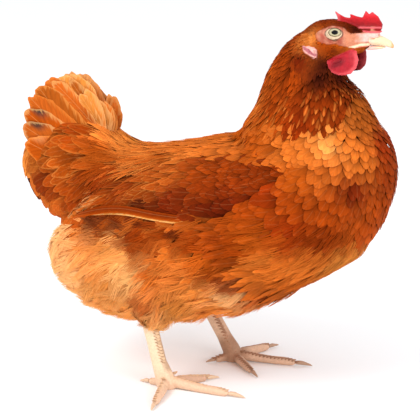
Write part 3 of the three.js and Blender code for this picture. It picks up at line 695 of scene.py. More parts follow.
places = places_of(skin)
x, y, z = places[:, 0], np.abs(places[:, 1]), places[:, 2]
high, low = z > HEAD_FROM, z < LEGS_TO
gaps = {part: np.full(len(places), FAR_OFF) for part in ("comb", "wattle", "earlobe", "leg")}
for part, raised in (("wattle", 0), ("earlobe", LOBE_RAISED)):
    gaps[part][high] = gap_to(places[high] - (0, 0, raised), [f"{part}_right", f"{part}_left"])
gaps["comb"][high] = gap_to(places[high], ["comb"])
gaps["leg"][low] = gap_to(places[low], LEG_NODES["right"] + LEG_NODES["left"])

skin_way = normals_of(skin)
colour = marking(places) * 0.75

# The bare face is pink and blotched, tan before the eye, and takes the cheek's colour at its edge.
bare = bare_face(places) * (z > 300)
face_tone = (0.5 + 0.5 * soft_noise(places, 7, 11)).clip(0, 1)[:, None]
colour = layered(colour, mix(FACE_PINK, FACE_PALE, face_tone), bare)
before_eye = smooth(125, 131, x) * (1 - smooth(140, 146, x))
colour = layered(colour, LORES_TAN, bare * before_eye * 0.8)
disc_edge = smooth(0.5, 1.0, from_disc(places)) * (1 - smooth(332, 336, z)) * (1 - smooth(120, 126, x))
colour = layered(colour, marking(places) * 1.2, bare * disc_edge * 0.55)
eye_round = from_eye(places)
# Painted shade: a thin dark line in the crease round the lids.
crease_shade = 1 - smooth(0.2, 0.8, np.abs(eye_round - 7.5))
colour = layered(colour, LID_CREASE_SHADE, crease_shade * (y > 10) * 0.9)
colour = layered(colour, LID, (1 - smooth(6.9, 7.3, eye_round)) * (y > 10))
above_gape = z - gape_line(x)
gape = smooth(128, 133, x) * (1 - smooth(0.7, 1.5, np.abs(above_gape)))
colour = layered(colour, GAPE_CREAM, bare * gape)
below_gape = smooth(124, 130, x) * (1 - smooth(0.6, 1.4, np.abs(above_gape + 2.4)))
colour = layered(colour, GAPE_RED, bare * below_gape)

# The comb is darkest at its foot and paler towards its points and on the folds before it.
comb = 1 - smooth(0.5, 1.3, gaps["comb"])
fold_gap = np.minimum(np.abs(z - 338.4 - (x - 138) * 0.033), np.abs(z - 335.1))
comb_folds = smooth(136, 139, x) * (1 - smooth(0.5, 1.0, fold_gap)) * smooth(1.0, 2.0, y) * (y < 5)
colour = layered(colour, mix(COMB_DARK, COMB_RED, smooth(339, 350, z)[:, None]), comb)
colour = layered(colour, COMB_PALE, comb_folds)
colour = layered(colour, COMB_PALE, comb * (1 - smooth(118, 122, x)))
colour = layered(colour, COMB_PALE, comb * smooth(347, 352, z) * 0.35)
cere = smooth(136, 145, x + 1.5 * soft_noise(places, 6, 15)) * smooth(326, 328, z)
cere = cere * (1 - smooth(333.6, 334.8, z))
colour = layered(colour, NOSTRIL_PALE, cere)

# A wattle is pale along its front and lower rim, partly its own colour and partly a painted highlight, and
# dark with painted shade in its hollow and on its inner side, which faces the other wattle.
wattle = (1 - smooth(2.4, 3.0, gaps["wattle"])) * (1 - smooth(0, 2, above_wattle(places)))
wattle_top = smooth(309, 314, z) * (1 - smooth(135, 138.5, x))
rim_highlight = smooth(0.66, 0.92, np.hypot((x - 126) / 14, (z - 310) / 12.6)) * (1 - 0.85 * wattle_top)
hollow_shade = 1 - smooth(0.2, 1.0, np.hypot((x - 123.5) / 9, (z - 308.4 - (x - 123.5) * 0.45) / 5))
inner_side = smooth(-0.1, 0.3, -skin_way[:, 1] * np.sign(places[:, 1]))
colour = layered(colour, WATTLE_RED, wattle)
colour = layered(colour, WATTLE_HIGHLIGHT_RIM, wattle * rim_highlight * 0.9)
colour = layered(colour, WATTLE_SHADE_DEEP, wattle * hollow_shade * 0.85)
colour = layered(colour, WATTLE_SHADE_INNER, wattle * inner_side * 0.8)

# An earlobe is pale round its rim and mauve in its middle.
lobe = (1 - smooth(0.8, 1.6, gaps["earlobe"])) * (1 - smooth(104.5, 106, x))
lobe_middle = 1 - smooth(1.6, 2.8, np.abs((z - 318.6) + (x - 98.5) * 0.55) + 0.2 * np.abs(x - 98.5))
colour = layered(colour, LOBE_PALE, lobe)
colour = layered(colour, LOBE_MAUVE, lobe * lobe_middle)

# The legs are pale and browner down the front of the shanks, partly the plates' own brown and partly
# painted shade. The left leg, further from the camera, is darker all over with painted shade, most of all
# about its ankle.
leg = 1 - smooth(0.8, 2.0, gaps["leg"])
colour = layered(colour, mix(LEG_PALE, LEG_PINK, np.clip(1 - z / 22, 0, 1)[:, None]), leg)
shank_front = smooth(0.2, 0.8, skin_way[:, 0]) * smooth(14, 20, z)
colour = layered(colour, LEG_BROWN_AND_SHADE, leg * shank_front * 0.5)
# Painted shade: the whole left leg is darkened, most of all about its ankle.
ankle = np.array(SHANK_LINES["left"][0]) + (3, 0, -3)
far_leg_shade = 1 - smooth(10, 24, np.linalg.norm(places - ankle, axis=1))
shaded_left_leg = leg * (places[:, 1] > 0)
colour = layered(colour, mix(LEG_SHADE_DUN, LEG_BROWN_AND_SHADE, far_leg_shade[:, None]), shaded_left_leg * mix(0.6, 0.85, far_leg_shade))
# Painted shade: the right foot's inner toe is darker.
shaded_inner_toe = (places[:, 1] < 0) & (places[:, 1] > -44) & (x > -24) & (z < 14) & (skin_way[:, 1] > -0.9)
colour = layered(colour, LEG_SHADE_DUN, leg * shaded_inner_toe * 0.7)
paint(skin, "Skin", colour)


class Nodes:
    """Adds and links the nodes of one material on the principled shader."""

    def __init__(self, title, roughness=0.6, gleam=0.1):
        self.material = bpy.data.materials.new(title)
        self.material.use_nodes = True
        self.tree = self.material.node_tree
        self.shader = self.tree.nodes["Principled BSDF"]
        self.shader.inputs["Roughness"].default_value = roughness
        self.shader.inputs["Specular IOR Level"].default_value = gleam

    def add(self, kind, settings=None, **sockets):
        node = self.tree.nodes.new(kind)
        for name, value in (settings or {}).items():
            setattr(node, name, value)
        for name, value in sockets.items():
            self.put(node.inputs[name.replace("_", " ")], value)
        return node

    def put(self, socket, value):
        if isinstance(value, bpy.types.NodeSocket):
            self.tree.links.new(value, socket)
        else:
            socket.default_value = value

    def math(self, operation, *values):
        node = self.add("ShaderNodeMath", {"operation": operation})
        for socket, value in zip(node.inputs, values):
            self.put(socket, value)
        return node.outputs[0]

    def spread(self, value, low, high, to_low=0.0, to_high=1.0):
        node = self.add("ShaderNodeMapRange", {"interpolation_type": "SMOOTHSTEP"})
        for socket, given in zip(node.inputs, (value, low, high, to_low, to_high)):
            self.put(socket, given)
        return node.outputs[0]

    def blend(self, share, one, other, kind="MIX"):
        node = self.add("ShaderNodeMix", {"data_type": "RGBA", "blend_type": kind})
        for index, value in ((0, share), (6, one), (7, other)):
            self.put(node.inputs[index], value)
        return node.outputs[2]

    def grey(self, value):
        return self.add("ShaderNodeCombineColor", Red=value, Green=value, Blue=value).outputs[0]

    def times(self, colour, tone):
        return self.blend(1.0, colour, self.grey(tone), "MULTIPLY")

    def scaled(self, vector, scale):
        node = self.add("ShaderNodeMapping", Vector=vector)
        node.inputs["Scale"].default_value = scale
        return node.outputs[0]

    def noise(self, vector, scale, detail=2.0, roughness=0.5):
        sizes = {"Scale": scale, "Detail": detail, "Roughness": roughness}
        return self.add("ShaderNodeTexNoise", Vector=vector, **sizes).outputs["Fac"]

    def warts(self, vector, scale):
        node = self.add("ShaderNodeTexVoronoi", {"feature": "F1"}, Vector=vector, Scale=scale)
        return node.outputs["Distance"]

    def here(self):
        return self.add("ShaderNodeTexCoord").outputs["Object"]

    def painted(self, name):
        return self.add("ShaderNodeVertexColor", {"layer_name": name}).outputs["Color"]

    def number(self, name):
        return self.add("ShaderNodeAttribute", {"attribute_name": name}).outputs["Fac"]

    def colour(self, value):
        self.put(self.shader.inputs["Base Color"], value)

    def bump(self, height, strength, distance):
        node = self.add("ShaderNodeBump", Height=height, Strength=strength, Distance=distance)
        self.put(self.shader.inputs["Normal"], node.outputs[0])


def skin_material(title, wart_size, wart_depth, roughness, gleam, blotch):
    """Skin from its painted colour, mottled, with warts of one size given in millimetres."""
    nodes = Nodes(title, roughness, gleam)
    here = nodes.here()
    mottle = nodes.spread(nodes.noise(here, 420, 3), 0.3, 0.7, 1 - blotch, 1 + blotch)
    warts = nodes.warts(here, 1 / (wart_size * MM))
    crease = nodes.spread(warts, 0.1, 0.8, 1.03, 0.92)
    nodes.colour(nodes.times(nodes.painted("Skin"), nodes.math("MULTIPLY", mottle, crease)))
    nodes.bump(nodes.math("SUBTRACT", nodes.noise(here, 900, 2), warts), 0.8, wart_depth * MM)
    return nodes.material


SKIN_MATERIALS = [
    skin_material("Down_skin", 1.6, 0.2, 0.8, 0.05, 0.15),
    skin_material("Face_skin", 1.1, 0.25, 0.55, 0.25, 0.1),
    skin_material("Comb_skin", 0.7, 0.12, 0.45, 0.2, 0.1),
    skin_material("Earlobe_skin", 1.3, 0.25, 0.5, 0.3, 0.1),
    skin_material("Leg_skin", 1.2, 0.15, 0.5, 0.25, 0.06),
]
skin.data.materials.clear()
for material in SKIN_MATERIALS:
    skin.data.materials.append(material)
region = np.zeros(len(places), int)  # which of SKIN_MATERIALS each corner has
region[bare > 0.5] = 1
region[(comb > 0.5) & (cere < 0.5) | (wattle > 0.5) | (comb_folds > 0.5)] = 2
region[lobe > 0.5] = 3
region[leg > 0.5] = 4
first_corner = np.array([skin.data.loops[p.loop_start].vertex_index for p in skin.data.polygons])
skin.data.polygons.foreach_set("material_index", region[first_corner].astype(np.int32))
skin.data.polygons.foreach_set("use_smooth", np.ones(len(first_corner), bool))
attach(skin, "root")
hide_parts(*BODY_NODES, "comb", *LOBES)
for side_name, _ in SIDES:
    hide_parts(*LEG_NODES[side_name])
bpy.data.objects.remove(lie)
skin_surface = Surface(skin)

# ---- Eyes ----------------------------------------------------------------------------------------
# A hen's eye is a wet ball with a clear bulging front. Behind that lie a black pupil and a straw iris,
# which a thin dark line closes off from the lids.

CORNEA_REACH = 5.6
CORNEA_RISE = 0.7
RAMP_REACH = 8.0


def iris_material():
    """Rings of colour round the pupil with a flecked iris, under a wet coat."""
    nodes = Nodes("Eye_iris", roughness=0.2, gleam=0.08)
    nodes.shader.inputs["Coat Weight"].default_value = 0.25
    nodes.shader.inputs["Coat Roughness"].default_value = 0.03
    out = nodes.number("ring")
    flecks = nodes.noise(nodes.here(), 2600, 2)
    ringed = nodes.math("ADD", out, nodes.spread(flecks, 0.3, 0.7, -0.12, 0.12))
    ramp = nodes.add("ShaderNodeValToRGB", Fac=nodes.math("DIVIDE", ringed, RAMP_REACH))
    # How far out each colour lies, in millimetres: pupil, iris, dark line, lid's edge
    bands = [
        (2.6, shade(2, 2, 2)),
        (2.9, shade(84, 66, 42)),
        (3.2, shade(196, 188, 152)),
        (4.3, shade(168, 160, 126)),
        (4.8, shade(184, 172, 136)),
        (5.1, shade(120, 104, 80)),
        (5.4, shade(60, 46, 38)),
        (5.7, shade(60, 46, 38)),
        (6.1, shade(196, 170, 138)),
    ]
    stops = ramp.color_ramp.elements
    for index, (reach, colour) in enumerate(bands):
        stop = stops[index] if index < 2 else stops.new(reach / RAMP_REACH)
        stop.position = reach / RAMP_REACH
        stop.color = (*colour, 1)
    nodes.colour(nodes.times(ramp.outputs["Color"], nodes.spread(flecks, 0.3, 0.7, 0.9, 1.1)))
    return nodes.material


iris = iris_material()
for side_name, side in SIDES:
    bpy.ops.object.select_all(action="DESELECT")
    bpy.ops.mesh.primitive_uv_sphere_add(
        segments=56,
        ring_count=48,
        radius=(EYE_RADIUS - 0.1) * MM,
        location=row(mirrored(EYE_AT, side)),
        rotation=facing(EYE_WAY, side),
    )
    eyeball = bpy.context.object
    eyeball.name = f"eyeball_{side_name}"
    bpy.ops.object.transform_apply(location=True, rotation=True, scale=True)
    bpy.ops.object.shade_smooth()
    places = places_of(eyeball)
    way = mirrored(EYE_WAY, side)
    away = places - mirrored(EYE_AT, side)
    forward = away @ way
    ring = np.linalg.norm((away - forward[:, None] * way) / (1, 1, EYE_FLAT), axis=1)
    ring = np.where(forward > 0, ring, EYE_RADIUS)
    bulge = CORNEA_RISE * (1 - smooth(0.4 * CORNEA_REACH, CORNEA_REACH, ring))
    put_places(eyeball, places + way * bulge[:, None])
    number(eyeball, "ring", ring)
    eyeball.data.materials.append(iris)
    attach(eyeball, "root")
    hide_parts(f"eye_{side_name}")

# ---- Bill ----------------------------------------------------------------------------------------
# The bill is two horn sheaths over bone. The upper one has a nostril slit on each side under a flap of
# skin, a ridge along its top and a hooked tip that closes over the lower one.

HORN_CREAM = shade(238, 206, 168)
HORN_PINK = shade(240, 190, 178)
HORN_AMBER = shade(222, 150, 84)
NOSTRIL_AT = np.array((150.5, 5.0, 329.8))


def horn_material(title):
    """Smooth horn from its painted colour, with a fine grain along the bill."""
    nodes = Nodes(title, roughness=0.35, gleam=0.35)
    along = nodes.scaled(nodes.here(), (0.25, 1, 1))
    grain = nodes.noise(along, 1500, 3)
    tone = nodes.spread(grain, 0.3, 0.7, 0.9, 1.06)
    nodes.colour(nodes.times(nodes.painted("Horn"), tone))
    nodes.bump(grain, 0.3, 0.15 * MM)
    return nodes.material


horn = horn_material("Bill_horn")
for title, node in (("bill_upper", "upper_bill"), ("bill_lower", "lower_bill")):
    bill = copied_nodes(title, [node])
    fused(bill, swell=0.1, voxel=0.4, smooth=4)
    places, normals = places_of(bill), normals_of(bill)
    x, y, z = places[:, 0], np.abs(places[:, 1]), places[:, 2]
    colour = np.broadcast_to(HORN_CREAM, places.shape)
    if title == "bill_upper":
        slit = np.hypot((x - NOSTRIL_AT[0]) / 2.8, (z - NOSTRIL_AT[2]) / 0.8)
        slit = (1 - smooth(0.4, 1.1, slit)) * (y > 2)
        places -= normals * (1.1 * slit)[:, None]
        lip = (1 - smooth(0.3, 0.9, np.abs(z - 323.8))) * (x < 164)
        places += normals * (0.3 * lip)[:, None]
        colour = layered(colour, HORN_AMBER, smooth(165.4, 167.6, x) * 0.8)
        colour = layered(colour, HORN_AMBER, slit * 0.7)
        colour = layered(colour, HORN_PINK, (1 - smooth(148, 154, x)) * 0.5)
    else:
        colour = layered(colour, HORN_PINK, 1 - smooth(150, 158, x))
    put_places(bill, places)
    paint(bill, "Horn", colour)
    bill.data.materials.append(horn)
    bpy.ops.object.shade_smooth()
    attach(bill, "root")
    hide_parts(node)

# ---- Feathers: one maker for every vane ----------------------------------------------------------
# A feather is a thin vane on a shaft. It is rooted in the skin and lies along the body with its tip
# over the roots of the next ones. Its barbs run slantwise from the shaft to a rim that frays.

# The bent middle line of her body, as x and z, from behind the tail up the neck and out at the bill
BODY_AXIS = [(-200, 188), (-100, 172), (0, 160), (78, 188), (98, 240), (96, 290), (110, 325), (168, 325)]
BODY_AXIS = np.array(BODY_AXIS, float)
UNWRAP_SHARE = 0.96
PATCH = 0.003


def unwrapped(points):
    """The skin's own unwrap: how far along the body's bent axis a place is, and the angle round it."""
    x, y, z = points.T
    starts, ends = BODY_AXIS[:-1], BODY_AXIS[1:]
    spans = np.linalg.norm(ends - starts, axis=1)
    reached = np.concatenate(([0], np.cumsum(spans)))
    flat = np.stack((x, z), 1)
    along = unit(ends - starts)
    share = ((flat[:, None] - starts) * along).sum(2).clip(0, spans)
    nearest = starts + along * share[..., None]
    gap = np.linalg.norm(flat[:, None] - nearest, axis=2)
    best = gap.argmin(1)
    rows = np.arange(len(points))
    aside = flat - nearest[rows, best]
    above = aside[:, 1] * along[best, 0] - aside[:, 0] * along[best, 1]
    u = 0.5 + np.arctan2(y, above) / (2 * math.pi) * UNWRAP_SHARE
    v = 0.02 + UNWRAP_SHARE * (reached[best] + share[rows, best]) / reached[-1]
    return np.stack((u, v), 1)


def new_mesh(title, places, faces):
    """A mesh from places in her own frame and arrays of faces, one array for each count of corners."""
    mesh = bpy.data.meshes.new(title)
    mesh.vertices.add(len(places))
    mesh.vertices.foreach_set("co", row(places).astype(np.float32).ravel())
    corners = np.concatenate([f.ravel() for f in faces]).astype(np.int32)
    totals = np.concatenate([np.full(len(f), f.shape[1]) for f in faces])
    mesh.loops.add(len(corners))
    mesh.loops.foreach_set("vertex_index", corners)
    mesh.polygons.add(len(totals))
    mesh.polygons.foreach_set("loop_start", (np.cumsum(totals) - totals).astype(np.int32))
    mesh.polygons.foreach_set("use_smooth", np.ones(len(totals), bool))
    mesh.update(calc_edges=True)
    piece = bpy.data.objects.new(title, mesh)
    bpy.context.scene.collection.objects.link(piece)
    return piece


def corner_map(piece, name, values):
    """A UV map from one value for each vertex, which is a map without seams inside a feather."""
    layer = piece.data.uv_layers.new(name=name)
    corners = np.empty(len(piece.data.loops), np.int32)
    piece.data.loops.foreach_get("vertex_index", corners)
    layer.uv.foreach_set("vector", values[corners].astype(np.float32).ravel())


def thinned(points, spacing):
    """Keeps roots, in their order, that have no kept root nearer than their spacing."""
    cell = 4.0  # millimetres across each box that roots are sorted into
    kept, grid = [], {}
    keys = np.floor(points / cell).astype(int).tolist()
    for i, (p, gap, key) in enumerate(zip(points.tolist(), spacing.tolist(), keys)):
        near = range(-int(gap / cell) - 1, int(gap / cell) + 2)
        cells = [(key[0] + a, key[1] + b, key[2] + c) for a in near for b in near for c in near]
        others = [q for k in cells for q in grid.get(k, ())]
        if all((p[0] - q[0]) ** 2 + (p[1] - q[1]) ** 2 + (p[2] - q[2]) ** 2 >= gap * gap for q in others):
            kept.append(i)
            grid.setdefault(tuple(key), []).append(p)
    return np.array(kept)


def laid(surface, tract, roots, normals, length, turn, rows):
    """Each feather's path from its root over the surface, with its ways and the surface's normals."""
    places, ways, outs = [roots], [], [normals]

    def turned(way, out):
        return way * np.cos(turn)[:, None] + np.cross(out, way) * np.sin(turn)[:, None]

    way = turned(tract.way_at(roots, normals), normals)
    for _ in range(rows - 1):
        at, out = surface.nearest(places[-1] + way * (length / (rows - 1))[:, None])
        ways.append(unit(at - places[-1]))
        places.append(at)
        outs.append(out)
        way = unit(0.7 * way + 0.3 * turned(tract.way_at(at, out), out))
        way = unit(way - out * (way * out).sum(1, keepdims=True))
    ways.append(ways[-1])
    return np.stack(places, 1), np.stack(ways, 1), np.stack(outs, 1)


def softened(piece, outs, top_corners, share):
    """Shades the tops of feathers partly as the body lies, because loose barbs scatter the light."""
    own_ways = np.empty(len(piece.data.loops) * 3, np.float32)
    piece.data.corner_normals.foreach_get("vector", own_ways)
    vertices = np.empty(len(piece.data.loops), np.int32)
    piece.data.loops.foreach_get("vertex_index", vertices)
    ways = unit(mix(own_ways.reshape(-1, 3), outs[vertices], share))
    ways[~top_corners] = 0
    piece.data.normals_split_custom_set(ways.tolist())


BARB_SLANT = math.radians(28)


def vanes(title, path, feather, rows, columns, seed):
    """One mesh of closed vanes along the given paths. feather holds, for each vane or for all, its width,
    length, point, fray, depth of root, rise of tip, cup and thickness, its colour and rim, and if wanted
    its streak, inner half, tone, how dark its root is painted as shade under the feathers over it and up to
    where, and how softly it is shaded."""
    places, ways, outs = path
    count, stations = places.shape[:2]
    rng = np.random.default_rng(seed)
    s = np.linspace(0, 1, rows)[None, :, None]  # from root to tip
    c = np.linspace(-1, 1, columns)[None, None, :]  # from rim to rim

    def each(name):
        return np.broadcast_to(np.asarray(feather[name], float), count)[:, None, None]

    # The tip ends each column early by its roundness or point, and by a random notch where it frays.
    length, width, point, fray = (each(name) for name in ("length", "width", "point", "fray"))
    notch = rng.uniform(0, 1, (count, 1, columns + 2))
    notch = (notch[..., :-2] + notch[..., 1:-1] * 2 + notch[..., 2:]) / 4
    blunt = mix(0.6 * width / length, 0.5, point) * np.abs(c) ** mix(2.2, 1.15, point)
    ends = np.clip(1 - blunt - (0.03 + 0.16 * fray) * notch, 0.3, 1)
    t = s * ends
    k = np.minimum((t * (stations - 1)).astype(int), stations - 2)
    f = (t * (stations - 1) - k)[..., None]
    pick = np.arange(count)[:, None, None]

    def between(values):
        return values[pick, k] * (1 - f) + values[pick, k + 1] * f

    # The vane widens from its root, narrows to its point, cups over its shaft and rises to its tip.
    at, way, out = between(places), unit(between(ways)), unit(between(outs))
    across = unit(np.cross(out, way))
    swell = 0.3 + 0.7 * np.sin(np.clip(t / 0.5, 0, 1) * math.pi / 2)
    half = width / 2 * swell * (1 - 0.6 * point * t**1.5)
    wave = 1 + 0.12 * fray * rng.uniform(-1, 1, (count, rows, columns))
    side = c * half * wave
    height = mix(-each("depth"), each("rise"), t**0.45) - each("cup") * c**2 * half
    height = height + (0.05 + fray * 0.18) * rng.normal(0, 1, (count, 1, columns)) * t
    top = at + across * side[..., None] + out * height[..., None]

    # One row of corners under the shaft closes it.
    middle = columns // 2
    thick = each("thick")[:, :, 0] * np.linspace(1, 0.4, rows)
    under = top[:, :, middle] - out[:, :, middle] * thick[..., None]
    ring = columns + 1
    corners = np.concatenate((top, under[:, :, None]), 2).reshape(-1, 3)

    i, j = np.meshgrid(np.arange(rows - 1), np.arange(ring), indexing="ij")
    a, b = i * ring + j, i * ring + (j + 1) % ring
    quads = np.stack((a, a + ring, b + ring, b), -1).reshape(-1, 4)
    first = np.arange(ring)
    caps = np.stack((first, first[::-1] + (rows - 1) * ring))
    start = (np.arange(count) * rows * ring)[:, None, None]
    faces = [(quads[None] + start).reshape(-1, 4), (caps[None] + start).reshape(-1, ring)]
    piece = new_mesh(title, corners, faces)

    # Rims and ends are sharp, and the top is shaded partly as the body lies.
    column_of = np.tile(np.arange(ring), count * rows)
    row_of = np.tile(np.repeat(np.arange(rows), ring), count)
    edges = np.empty(len(piece.data.edges) * 2, np.int32)
    piece.data.edges.foreach_get("vertices", edges)
    one, other = edges.reshape(-1, 2).T
    at_rim = (column_of[one] == column_of[other]) & np.isin(column_of[one], (0, columns - 1))
    at_end = (row_of[one] == row_of[other]) & np.isin(row_of[one], (0, rows - 1))
    sharp = piece.data.attributes.new("sharp_edge", "BOOLEAN", "EDGE")
    sharp.data.foreach_set("value", at_rim | at_end)

    sides_on_top = np.tile(np.repeat((j < columns - 1).ravel(), 4), count)
    on_top = np.concatenate((sides_on_top, np.zeros(count * 2 * ring, bool)))
    body_way = np.concatenate((out, out[:, :, :1]), 2).reshape(-1, 3)
    softened(piece, body_way, on_top, feather.get("soft", 0.6))

    def with_under(values):
        values = np.broadcast_to(values, (count, rows, columns))
        return np.concatenate((values, values[:, :, [middle]]), 2)

    # Barbs run slantwise out from the shaft, and each feather has its own place in their pattern.
    t, aside, half, ends, c = (with_under(v) for v in (t, np.abs(side), half, ends, c))
    along = t * length
    barb = along * math.sin(BARB_SLANT) - aside * math.cos(BARB_SLANT)
    reach = along * math.cos(BARB_SLANT) + aside * math.sin(BARB_SLANT)
    shift = rng.uniform(0, 50, (count, 1, 1, 2))
    corner_map(piece, "Barbs", (np.stack((barb, reach), -1) * 0.1 + shift).reshape(-1, 2))
    roots = feather["unwrap"] if "unwrap" in feather else unwrapped(places[:, 0])
    patch = np.stack(np.broadcast_arrays(c / 2, s - 0.5), -1)
    corner_map(piece, "OFBake", (roots[:, None, None] + PATCH * patch).reshape(-1, 2))

    # Its colour is darker at the root, painted shade under the feathers that overlap it, lit along the
    # middle, and uneven from feather to feather.
    tone = rng.normal(1, feather.get("uneven", 0.06), (count, 1, 1, 1))
    tone = tone * np.broadcast_to(feather.get("tone", 1.0), count)[:, None, None, None]
    colour = feather["colour"][:, None, None]
    if "inner" in feather:
        inner_half = smooth(0.0, 0.25, c * feather["inner_side"]) * smooth(0.7, 0.84, t)
        colour = mix(colour, feather["inner"][:, None, None], inner_half[..., None])
    streak = (1 - smooth(0.1, 0.55, aside / half)) * smooth(0.1, 0.5, t)
    lit = feather.get("streak", feather["colour"])[:, None, None]
    from_root = smooth(*feather.get("dark_to", (0.1, 0.6)), t)[..., None]
    overlap_shade = mix(feather.get("root_tone", 0.88), 1.0, from_root)
    colour = mix(colour, lit, streak[..., None]) * overlap_shade * tone
    paint(piece, "Plumage", np.clip(colour, 0, 1).reshape(-1, 3))
    rim = np.broadcast_to(feather["rim"][:, None, None] * tone, colour.shape)
    paint(piece, "Rim", np.clip(rim, 0, 1).reshape(-1, 3))
    number(piece, "edge", np.minimum(half - aside, (ends - t) * length))
    number(piece, "shaft", aside)
    return piece


def plumage_material(title, rim_width, rim_share, contrast=1.0, shaft_share=0.3):
    """Vane colour from the feather's own paint, broken into fine barbs, with a paler shaft."""
    nodes = Nodes(title, roughness=0.75, gleam=0.02)
    barbs = nodes.add("ShaderNodeUVMap", {"uv_map": "Barbs"}).outputs[0]
    fine = nodes.noise(nodes.scaled(barbs, (16, 1.1, 1)), 1.0, 3.0, 0.6)
    broad = nodes.noise(nodes.scaled(barbs, (4.5, 0.5, 1)), 1.0, 2.0)
    wide = nodes.spread(broad, 0.3, 0.7, -0.5, 0.5)
    edge = nodes.math("ADD", nodes.number("edge"), nodes.math("MULTIPLY", wide, rim_width))
    at_rim = nodes.spread(edge, 0.15, rim_width, rim_share, 0.0)
    painted = nodes.blend(at_rim, nodes.painted("Plumage"), nodes.painted("Rim"))
    streaks = nodes.spread(fine, 0.3, 0.7, 1 - 0.12 * contrast, 1 + 0.1 * contrast)
    tone = nodes.math("ADD", streaks, nodes.math("MULTIPLY", wide, 0.3 * contrast))
    shaft = nodes.spread(nodes.number("shaft"), 0.12, 0.4, shaft_share, 0.0)
    nodes.colour(nodes.blend(shaft, nodes.times(painted, tone), (*PEACH, 1)))
    nodes.bump(fine, 0.25, 0.25 * MM)
    return nodes.material


ROOT_DEPTH = 3.4
VANE_THICK = 0.22
STRAIGHT_ENOUGH = 0.76  # the least cosine between a feather's root and the rest of its path


def grown(
    title,
    tract_name,
    keep,
    rows,
    columns,
    seed,
    material,
    turn=7,
    closer=1.0,
    candidates=60000,
    **changes,
):
    """Feathers of one tract, rooted wherever keep says, as one piece. Each change is a value for all
    feathers, or says from their roots what each has."""
    rng = np.random.default_rng(seed)
    tract = tracts[tract_name]
    points, normals = lie_surface.scatter(candidates, rng)
    inside = (tract_of(points) == tract_name) & keep(points)
    points, normals = points[inside], normals[inside]
    said = tract.read(points)
    kept = thinned(points, said["spacing"] * closer)
    points, normals = points[kept], normals[kept]
    feather = {name: value[kept] for name, value in said.items()}
    count = len(points)
    size = rng.uniform(0.86, 1.14, count) * (1 + 0.08 * soft_noise(points, 40, seed))
    feather["length"] = feather["length"] * size
    feather["width"] = feather["width"] * size
    feather["depth"] = ROOT_DEPTH
    feather["rise"] = rng.uniform(0.0, 0.6, count)
    feather["cup"] = 0.1
    feather["thick"] = VANE_THICK
    feather["tone"] = 1 + 0.09 * soft_noise(points, 26, seed + 1)
    turn = np.radians(rng.normal(0, turn, count) + 6 * soft_noise(points, 34, seed + 2))
    path = laid(lie_surface, tract, points, normals, feather["length"], turn, max(rows, 7))
    straight = (path[1] * path[1][:, :1]).sum(2).min(1) > STRAIGHT_ENOUGH
    points, count = points[straight], straight.sum()
    path = tuple(part[straight] for part in path)
    feather = {name: value[straight] if np.ndim(value) else value for name, value in feather.items()}
    shown = tract.read(path[0][:, 4])
    feather["colour"], feather["rim"] = shown["colour"], shown["rim"]
    for name, change in changes.items():
        feather[name] = change(points, feather, rng) if callable(change) else change
    piece = vanes(title, path, feather, rows, columns, seed)
    piece.data.materials.append(material)
    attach(piece, "root")
    return piece


# ---- Belly fluff ---------------------------------------------------------------------------------
# On belly, vent and thighs the feathers have no hooks to hold their barbs, so they part into soft
# curling wisps over a loose under layer. Each clump of wisps springs from one place.

fluff_vane = plumage_material("Belly_vane", 1.5, 0.3, contrast=0.8, shaft_share=0.0)


def clear_of_wing(points):
    """Leaves a dark slit under the lower edge of the folded wing."""
    under = edge_height(WING_LOW, points[:, 0]) - points[:, 2]
    return (under > 6) | (points[:, 0] > 34) | (points[:, 0] < -100)


fluff = grown(
    "belly_fluff",
    "fluff",
    clear_of_wing,
    rows=6,
    columns=7,
    seed=31,
    material=fluff_vane,
    turn=14,
)


WISP_SIDES = 3


